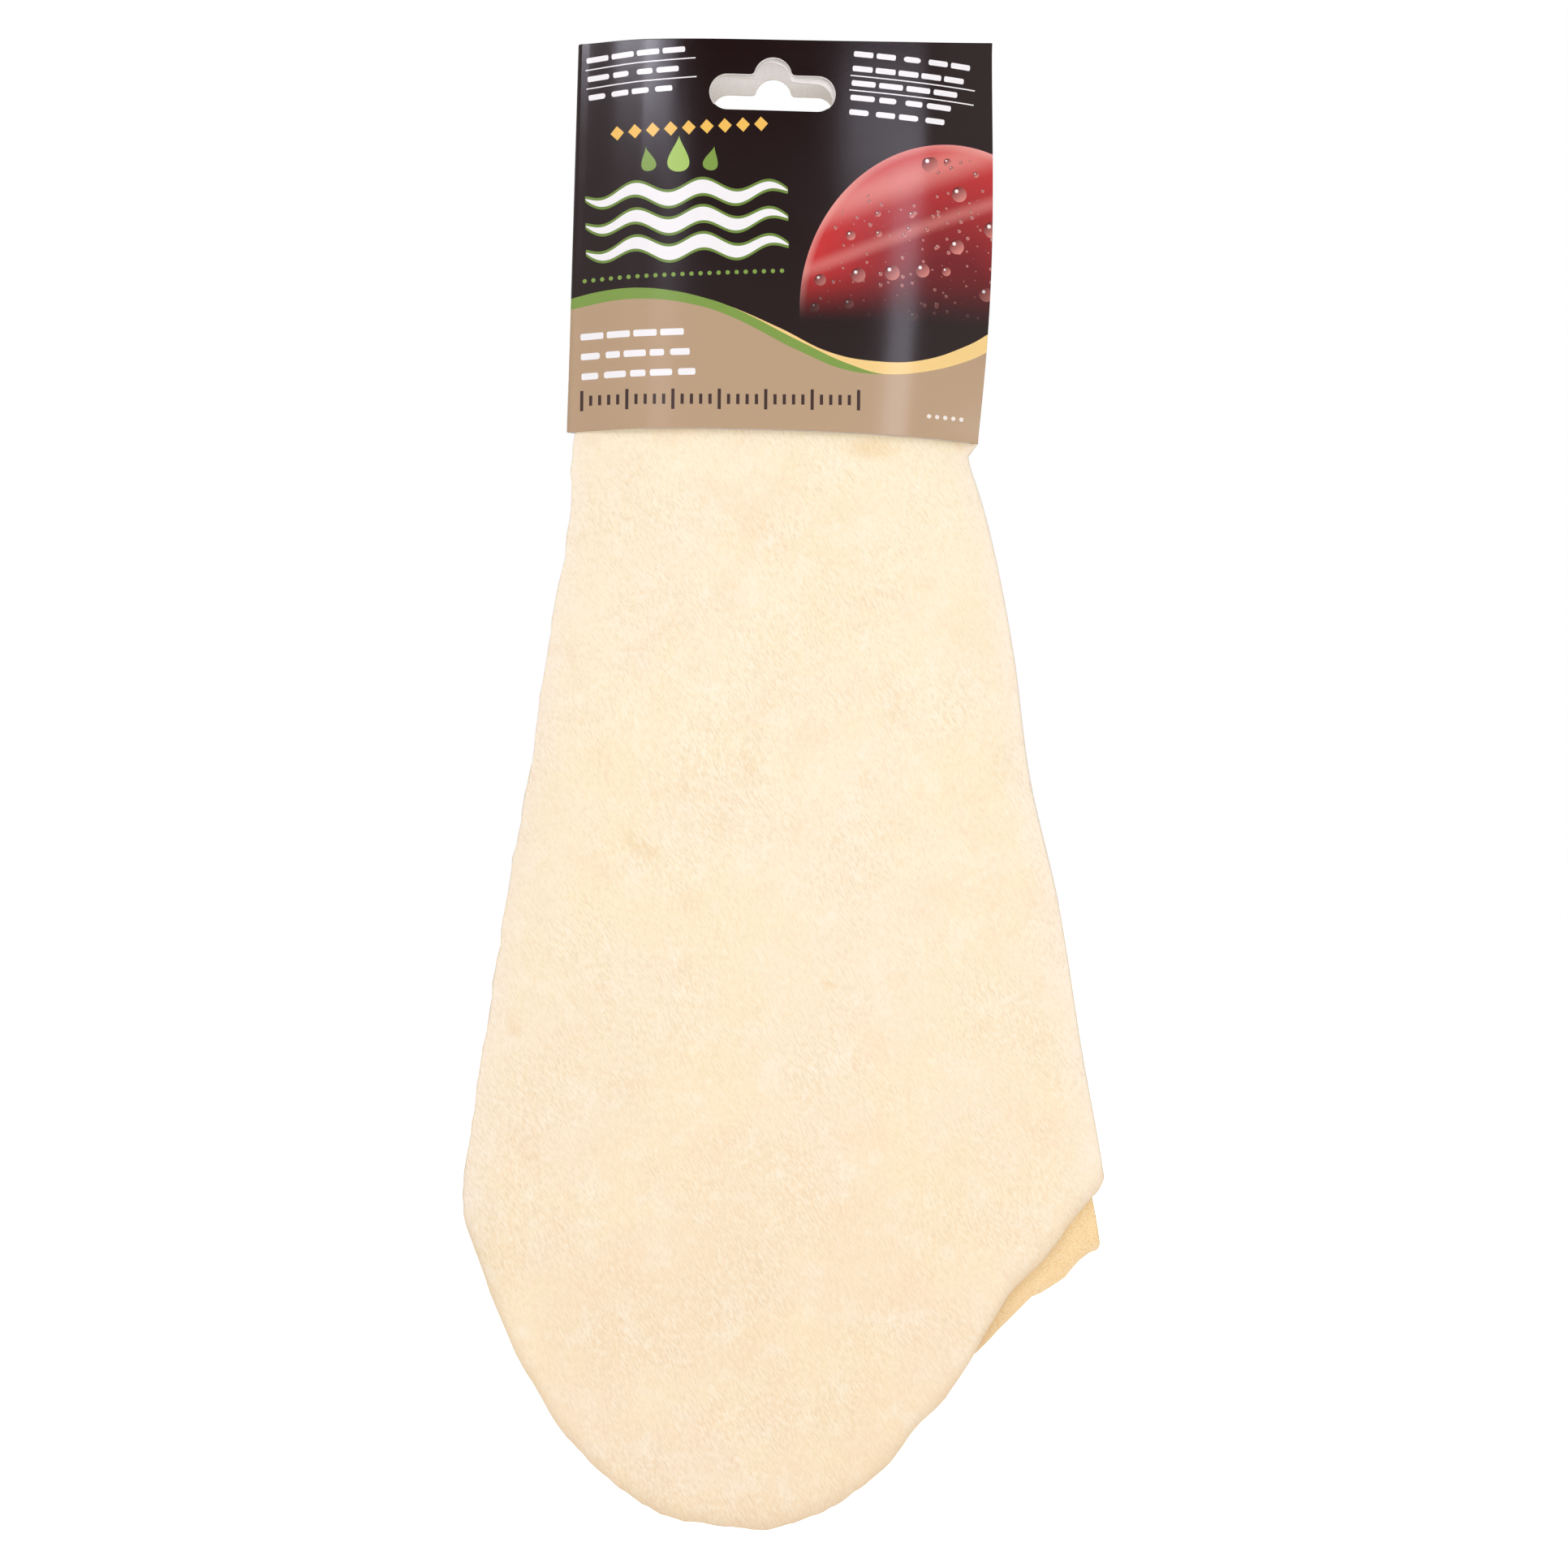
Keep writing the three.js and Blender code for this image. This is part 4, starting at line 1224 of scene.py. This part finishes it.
# Each block's side (1 in front, -1 behind), left end, middle height and tilt, its number of rows,
# their pitch and half height, a row's length and how it changes from row to row, the length of the
# rules and the colour
bar_blocks = (
    (1, -48.0, -5.2, 4.9, 3, 4.8, 0.7, 24.5, 1.9, 28.5, white_ink),
    (1, 19.6, -5.6, -3.4, 5, 3.7, 0.7, 28.0, 1.3, 32.0, white_ink),
    (1, -47.6, -76.4, 2.8, 3, 5.1, 0.85, 29.0, -1.4, 0.0, white_ink),
    (-1, 36.0, -36.0, 0.0, 7, 4.4, 0.7, 58.0, 1.9, 0.0, white_ink),
)
for side, left, middle, tilt, count, pitch, half, length, change, rule, code in bar_blocks:
    local = add(tree, "Mapping", {"Vector": at_mm, "Location": (left, 0, middle),
                                  "Rotation": (0, -math.radians(tilt), 0), "Scale": (side, 1, 1)},
                vector_type="TEXTURE")
    u, _, v = add(tree, "SeparateXYZ", [local]).node.outputs
    row = add(tree, "Math", [add(tree, "Math", [v, pitch], operation="DIVIDE")], operation="ROUND")
    up = add(tree, "Math", [row, -pitch, v], operation="MULTIPLY_ADD")
    reach = add(tree, "Math", [row, change, length], operation="MULTIPLY_ADD")
    left_of_end = add(tree, "Math", [reach, u], operation="SUBTRACT")
    bar_count = add(tree, "Math", [reach, bar_pitch], operation="DIVIDE")
    bar_count = add(tree, "Math", [bar_count], operation="ROUND")
    share = add(tree, "Math", [u, reach], operation="DIVIDE")
    turns = add(tree, "Math", [row, (count - 1) // 2 + lowest_row_turns], operation="ADD")
    turns = add(tree, "Math", [turns, share], operation="MULTIPLY")
    sway = add(tree, "Math", [turns, 2 * math.pi], operation="MULTIPLY")
    sway = add(tree, "Math", [sway], operation="SINE")
    sway = add(tree, "Math", [sway, bar_sway], operation="MULTIPLY")
    cell = add(tree, "Math", [share, bar_count, sway], operation="MULTIPLY_ADD")
    from_border = add(tree, "Math", [cell, 0.5], operation="PINGPONG")
    inside = add(tree, "Math", [from_border, bar_pitch, -bar_gap / 2], operation="MULTIPLY_ADD")
    inside = add(tree, "Math", [inside, u], operation="MINIMUM")
    inside = add(tree, "Math", [inside, left_of_end], operation="MINIMUM")
    out = add(tree, "Math", [bar_round, inside], operation="SUBTRACT")
    out = add(tree, "Math", [out, 0.0], operation="MAXIMUM")
    over = add(tree, "Math", [up], operation="ABSOLUTE")
    over = add(tree, "Math", [over, half - bar_round], operation="SUBTRACT")
    over = add(tree, "Math", [over, 0.0], operation="MAXIMUM")
    away = add(tree, "VectorMath", [add(tree, "CombineXYZ", [out, over, 0.0])], operation="LENGTH")
    bar = add(tree, "Math", [away, bar_round], operation="LESS_THAN")
    listed = add(tree, "Math", [row], operation="ABSOLUTE")
    listed = add(tree, "Math", [listed, count / 2], operation="LESS_THAN")
    bar = add(tree, "Math", [bar, listed], operation="MULTIPLY")
    beside = add(tree, "Math", [add(tree, "Math", [v], operation="ABSOLUTE"), pitch / 2, rule_half],
                 operation="COMPARE")
    within = add(tree, "Math", [u, rule / 2, rule / 2], operation="COMPARE")
    thin = add(tree, "Math", [beside, within], operation="MULTIPLY")
    stencil = add(tree, "Math", [bar, thin], operation="MAXIMUM")
    stencil = add(tree, "Math", [stencil, on_front if side > 0 else on_back], operation="MULTIPLY")
    ink = add(tree, "Mix", {"Factor": stencil, "A": ink, "B": colour(code)}, data_type="RGBA")
print("rows of bars:", sum(block[4] for block in bar_blocks))

# %% Print: diamonds, dots and ticks
diamond_half, diamond_squash = 1.75, 0.95
dot_radius = 0.55
tick_half, long_tick, short_tick = 0.42, 2.6, 1.3
ticks_to_long = 5.0
# Each row's kind, middle across and up, tilt, number of marks to each side, pitch and colour
mark_rows = (
    ("diamonds", -21.0, -18.1, 4.2, 4, 4.6, "#F5C25F"),
    ("dots", -21.5, -55.4, 3.4, 11, 2.3, "#82A04A"),
    ("dots", 46.5, -89.6, -2.2, 2, 2.1, "#EFE6DE"),
    ("ticks", -11.2, -86.9, 1.2, 15, 2.36, "#3F2B27"),
)
for kind, centre, height, tilt, most, pitch, code in mark_rows:
    local = add(tree, "Mapping", {"Vector": at_mm, "Location": (centre, 0, height),
                                  "Rotation": (0, -math.radians(tilt), 0)}, vector_type="TEXTURE")
    u, _, v = add(tree, "SeparateXYZ", [local]).node.outputs
    number = add(tree, "Math", [add(tree, "Math", [u, pitch], operation="DIVIDE")], operation="ROUND")
    du = add(tree, "Math", [number, -pitch, u], operation="MULTIPLY_ADD")
    du = add(tree, "Math", [du], operation="ABSOLUTE")
    dv = add(tree, "Math", [v], operation="ABSOLUTE")
    from_middle = add(tree, "Math", [number], operation="ABSOLUTE")
    if kind == "diamonds":
        away = add(tree, "Math", [dv, diamond_squash, du], operation="MULTIPLY_ADD")
        shape = add(tree, "Math", [away, diamond_half], operation="LESS_THAN")
    elif kind == "dots":
        away = add(tree, "VectorMath", [add(tree, "CombineXYZ", [du, v, 0.0])], operation="LENGTH")
        shape = add(tree, "Math", [away, dot_radius], operation="LESS_THAN")
    else:
        past_long = add(tree, "Math", [from_middle, ticks_to_long], operation="MODULO")
        tall = add(tree, "MapRange", [past_long, 0.0, 1.0, long_tick, short_tick])
        shape = add(tree, "Math", [dv, tall], operation="LESS_THAN")
        narrow = add(tree, "Math", [du, tick_half], operation="LESS_THAN")
        shape = add(tree, "Math", [narrow, shape], operation="MULTIPLY")
    listed = add(tree, "Math", [from_middle, most + 0.5], operation="LESS_THAN")
    stencil = add(tree, "Math", [shape, listed], operation="MULTIPLY")
    stencil = add(tree, "Math", [stencil, on_front], operation="MULTIPLY")
    ink = add(tree, "Mix", {"Factor": stencil, "A": ink, "B": colour(code)}, data_type="RGBA")
print("diamonds, dots and ticks:", sum(2 * row[4] + 1 for row in mark_rows))

# %% Print: drops
# A drop's half width, squared, is its fullness times its radius squared times up times the cube of
# what is left over, where up runs from 0 at its foot to 1 at its tip
drop_tall = 3.3            # radii
drop_fullness = 9.48       # brings its widest place to its radius
# Each drop's middle across, height, radius, tilt and colour
drops = (
    (-31.0, -27.4, 1.9, 12, "#82A04A"),
    (-23.4, -26.6, 2.8, 0, "#A9C965"),
    (-15.2, -27.0, 1.9, -12, "#82A04A"),
)
for centre, height, radius, tilt, code in drops:
    tall = drop_tall * radius
    local = add(tree, "Mapping", {"Vector": at_mm, "Location": (centre, 0, height),
                                  "Rotation": (0, -math.radians(tilt), 0)}, vector_type="TEXTURE")
    u, _, v = add(tree, "SeparateXYZ", [local]).node.outputs
    up = add(tree, "Math", [v, 1 / tall, radius / tall], operation="MULTIPLY_ADD")
    left_over = add(tree, "Math", [1.0, up], operation="SUBTRACT")
    narrow = add(tree, "Math", [left_over, 3.0], operation="POWER")
    width = add(tree, "Math", [up, narrow], operation="MULTIPLY")
    width = add(tree, "Math", [width, drop_fullness * radius ** 2], operation="MULTIPLY")
    square = add(tree, "Math", [u, u], operation="MULTIPLY")
    stencil = add(tree, "Math", [square, width], operation="LESS_THAN")
    stencil = add(tree, "Math", [stencil, on_front], operation="MULTIPLY")
    ink = add(tree, "Mix", {"Factor": stencil, "A": ink, "B": colour(code)}, data_type="RGBA")
print("drops:", len(drops))

# %% Print: three long waves
ripple_count, ripple_pitch = 3, 6.9
ripple_length, ripple_rise = 17.3, 1.5
ripple_half, stroke_half, ripple_rim = 26.0, 1.75, 0.7
ripple_taper = 0.6
local = add(tree, "Mapping", {"Vector": at_mm, "Location": (-21.0, 0, -41.6),
                              "Rotation": (0, -math.radians(2.6), 0)}, vector_type="TEXTURE")
u, _, v = add(tree, "SeparateXYZ", [local]).node.outputs
phase = add(tree, "Math", [u, 2 * math.pi / ripple_length], operation="MULTIPLY")
swing_up = add(tree, "Math", [phase], operation="SINE")
v = add(tree, "Math", [swing_up, -ripple_rise, v], operation="MULTIPLY_ADD")
row = add(tree, "Math", [add(tree, "Math", [v, ripple_pitch], operation="DIVIDE")], operation="ROUND")
up = add(tree, "Math", [row, -ripple_pitch, v], operation="MULTIPLY_ADD")
up = add(tree, "Math", [up], operation="ABSOLUTE")
shares = add(tree, "Math", [u, ripple_half], operation="DIVIDE")
taper = add(tree, "Math", [shares, shares], operation="MULTIPLY")
taper = add(tree, "Math", [1.0, taper], operation="SUBTRACT")
taper = add(tree, "Math", [taper, 0.0], operation="MAXIMUM")
taper = add(tree, "Math", [taper, ripple_taper], operation="POWER")
stroke = add(tree, "Math", [taper, stroke_half], operation="MULTIPLY")
drawn = add(tree, "Math", [row], operation="ABSOLUTE")
drawn = add(tree, "Math", [drawn, ripple_count / 2], operation="LESS_THAN")
drawn = add(tree, "Math", [drawn, on_front], operation="MULTIPLY")
within = add(tree, "Math", [taper, 0.0], operation="GREATER_THAN")
drawn = add(tree, "Math", [drawn, within], operation="MULTIPLY")
for extra, code in ((ripple_rim, "#6F8B3E"), (0.0, white_ink)):
    edge = add(tree, "Math", [stroke, extra], operation="ADD")
    stencil = add(tree, "Math", [up, edge], operation="LESS_THAN")
    stencil = add(tree, "Math", [stencil, drawn], operation="MULTIPLY")
    ink = add(tree, "Mix", {"Factor": stencil, "A": ink, "B": colour(code)}, data_type="RGBA")
print("nodes in the print so far:", len(tree.nodes))

# %% Print: a red lacquered field with beads of water
field_middle, field_radii = (47.0, -62.0, 0), (38.5, 42.0, 1)
red_from, red_full = 0.30, 0.95
streak_across = (-0.42, 1.0, 0)
brim_share = 0.5
bead_light = (0.6, -0.75, 0)
bead_random, bead_least = 0.95, 0.25
bead_dark_end, bead_light_end, bead_paleness = -0.9, 1.0, 0.8
glint_at, glint_from, glint_to = (-0.36, 0.40, 0), 0.16, 0.30
beads_end = 0.93
fade_foot, fade_head = -67.0, -50.0
flat_mm = add(tree, "CombineXYZ", [x_mm, z_mm, 0.0])
oval = add(tree, "Mapping", {"Vector": flat_mm, "Location": field_middle, "Scale": field_radii},
           vector_type="TEXTURE")
out = add(tree, "VectorMath", [oval], operation="LENGTH")
red = add(tree, "MapRange", [out, red_from, red_full, 0.0, 1.0])
lacquer = add(tree, "Mix", {"Factor": red, "A": colour("#701219"), "B": colour("#C93233")}, data_type="RGBA")
# Each pale streak's height, half width and strength
for height, wide, weight in ((-44.0, 7.0, 0.55), (-58.0, 3.0, 0.35)):
    slant = add(tree, "VectorMath", [flat_mm, streak_across], operation="DOT_PRODUCT")
    sheen = add(tree, "Math", [slant, height], operation="SUBTRACT")
    sheen = add(tree, "Math", [sheen], operation="ABSOLUTE")
    sheen = add(tree, "MapRange", [sheen, 0.0, wide, weight, 0.0], interpolation_type="SMOOTHSTEP")
    lacquer = add(tree, "Mix", {"Factor": sheen, "A": lacquer, "B": colour("#F2A097")}, data_type="RGBA")
brim = add(tree, "MapRange", [out, red_full, 1.0, 0.0, brim_share])
lacquer = add(tree, "Mix", {"Factor": brim, "A": lacquer, "B": colour("#F6B9AF")}, data_type="RGBA")
# The beads' pitch in mm, and their least and greatest radius as shares of it
for bead_pitch, smallest, largest in ((2.9, 0.03, 0.20), (8.3, 0.06, 0.27)):
    beads = add(tree, "TexVoronoi", {"Vector": flat_mm, "Scale": 1 / bead_pitch, "Randomness": bead_random},
                voronoi_dimensions="2D").node.outputs
    bead_size = add(tree, "SeparateColor", [beads["Color"]]).node.outputs
    radius = add(tree, "MapRange", [bead_size["Red"], bead_least, 1.0, smallest, largest])
    from_middle = add(tree, "VectorMath", [flat_mm, beads["Position"]], operation="SUBTRACT")
    inward = add(tree, "Math", [1 / bead_pitch, radius], operation="DIVIDE")
    from_middle = add(tree, "VectorMath", {"Vector": from_middle, "Scale": inward}, operation="SCALE")
    lit_side = add(tree, "VectorMath", [from_middle, bead_light], operation="DOT_PRODUCT")
    lit_side = add(tree, "MapRange", [lit_side, bead_dark_end, bead_light_end, 0.0, bead_paleness])
    bead = add(tree, "Mix", {"Factor": lit_side, "A": colour("#6A0E15"), "B": colour("#F39A90")},
               data_type="RGBA")
    glint = add(tree, "VectorMath", [from_middle, glint_at], operation="DISTANCE")
    glint = add(tree, "MapRange", [glint, glint_from, glint_to, 1.0, 0.0])
    bead = add(tree, "Mix", {"Factor": glint, "A": bead, "B": colour("#FFF6F4")}, data_type="RGBA")
    is_bead = add(tree, "Math", [beads["Distance"], radius], operation="LESS_THAN")
    whole = add(tree, "Math", [out, beads_end], operation="LESS_THAN")
    is_bead = add(tree, "Math", [is_bead, whole], operation="MULTIPLY")
    lacquer = add(tree, "Mix", {"Factor": is_bead, "A": lacquer, "B": bead}, data_type="RGBA")
fade = add(tree, "MapRange", [z_mm, fade_foot, fade_head, 0.0, 1.0], interpolation_type="SMOOTHSTEP")
inside = add(tree, "Math", [out, 1.0], operation="LESS_THAN")
stencil = add(tree, "Math", [fade, inside], operation="MULTIPLY")
stencil = add(tree, "Math", [stencil, on_front], operation="MULTIPLY")
ink = add(tree, "Mix", {"Factor": stencil, "A": ink, "B": lacquer}, data_type="RGBA")
print("nodes in all the inks:", len(tree.nodes))

# %% Print: the laminate over the inks
peel_size, peel_height = 1.5, 0.004
smear_size = 17
smear_levels, film_roughness = (0.3, 0.7), (0.12, 0.15)
orange_peel = add(tree, "TexNoise", {"Vector": at_mm, "Scale": 1 / peel_size, "Detail": 2.0})
film = add(tree, "Bump", {"Strength": 1.0, "Distance": peel_height * MM, "Height": orange_peel})
smear = add(tree, "TexNoise", {"Vector": at_mm, "Scale": 1 / smear_size, "Detail": 3.0})
roughness = add(tree, "MapRange", [smear, *smear_levels, *film_roughness])
shader = add(tree, "BsdfPrincipled", {"Base Color": ink, "Roughness": roughness, "Normal": film})
add(tree, "OutputMaterial", [shader])
print("print nodes:", len(tree.nodes))

# %% [markdown]
# ## Bare board
# Behind its print the board is pale grey fibre, and where it is cut its core shows, a little
# whiter. Both are quite matt. A flat grey would do from afar, but a fine noise, as wide as a clump
# of fibres, keeps them from looking like plastic.

# %% Card: the grey back and the cut core
fibre_size, fibre_height = 0.7, 0.02
fibre_levels = (0.4, 0.65)
for name, light, dark in (("grey_board", "#EEEAE8", "#E8E3E0"), ("card_core", "#F1ECE6", "#E6DED5")):
    tree = bpy.data.materials[name].node_tree
    object_at = add(tree, "TexCoord").node.outputs["Object"]
    fibres = add(tree, "TexNoise", {
        "Vector": object_at, "Scale": 1 / (fibre_size * MM), "Detail": 3.0, "Roughness": 0.7})
    flecks = add(tree, "MapRange", [fibres, *fibre_levels])
    board = add(tree, "Mix", {"Factor": flecks, "A": colour(light), "B": colour(dark)}, data_type="RGBA")
    rough = add(tree, "Bump", {"Strength": 1.0, "Distance": fibre_height * MM, "Height": fibres})
    shader = add(tree, "BsdfPrincipled", {"Base Color": board, "Roughness": 0.85, "Normal": rough})
    add(tree, "OutputMaterial", [shader])
    print(name, "nodes:", len(tree.nodes))

# %% [markdown]
# ## Hot-melt glue
# A line of glue shuts the sleeve behind the front panel. Set hot-melt glue is a waxy plastic,
# between clear and amber, with a soft gloss and small bubbles. It could be made see-through, but
# it lies in the dark between two cards, so it keeps the frame's own solid and gets a noise of
# bubbles in its colour and its relief.

# %% The glue
bubble_size, bubble_height = 1.2, 0.05
glue = frame["nodes"]["seam_glue"]
material, tree = new_material("hot_melt_glue")
object_at = add(tree, "TexCoord").node.outputs["Object"]
bubbles = add(tree, "TexNoise", {"Vector": object_at, "Scale": 1 / (bubble_size * MM), "Detail": 2.0})
amber = add(tree, "Mix", {"Factor": bubbles, "A": colour("#EFE4C8"), "B": colour("#DCC994")},
            data_type="RGBA")
waxy = add(tree, "Bump", {"Strength": 1.0, "Distance": bubble_height * MM, "Height": bubbles})
shader = add(tree, "BsdfPrincipled", {"Base Color": amber, "Roughness": 0.38, "Normal": waxy})
add(tree, "OutputMaterial", [shader])
glue.data.materials.clear()
glue.data.materials.append(material)
print("glue nodes:", len(tree.nodes))

# %% [markdown]
# ## Bodies
# The card and its glue stay on the peg, and the leather can be pulled out, so each rides on a body
# of its own. A modifier could bend the leather as it comes out, but the real one keeps its folds.

# %% Bodies
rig.ride(sleeve, "sleeve")
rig.replaces(sleeve, "card_sleeve")
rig.slot(sleeve, "printed_card")
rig.ride(skin, "skin")
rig.replaces(skin, "chamois_skin")
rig.slot(skin, "chamois")
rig.slot(glue, "hot_melt_glue")
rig.sheet(skin, flat=(0.86, 0.70), held="folded", rests_on=["card_wrap"], area=0.4645)
print("pieces:", sleeve.name, skin.name, glue.name)

with open("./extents.json", "w") as out:
    json.dump({"cad": cad_box, "visual": [list(corner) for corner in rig.bounds()]}, out)
print(open("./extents.json").read())
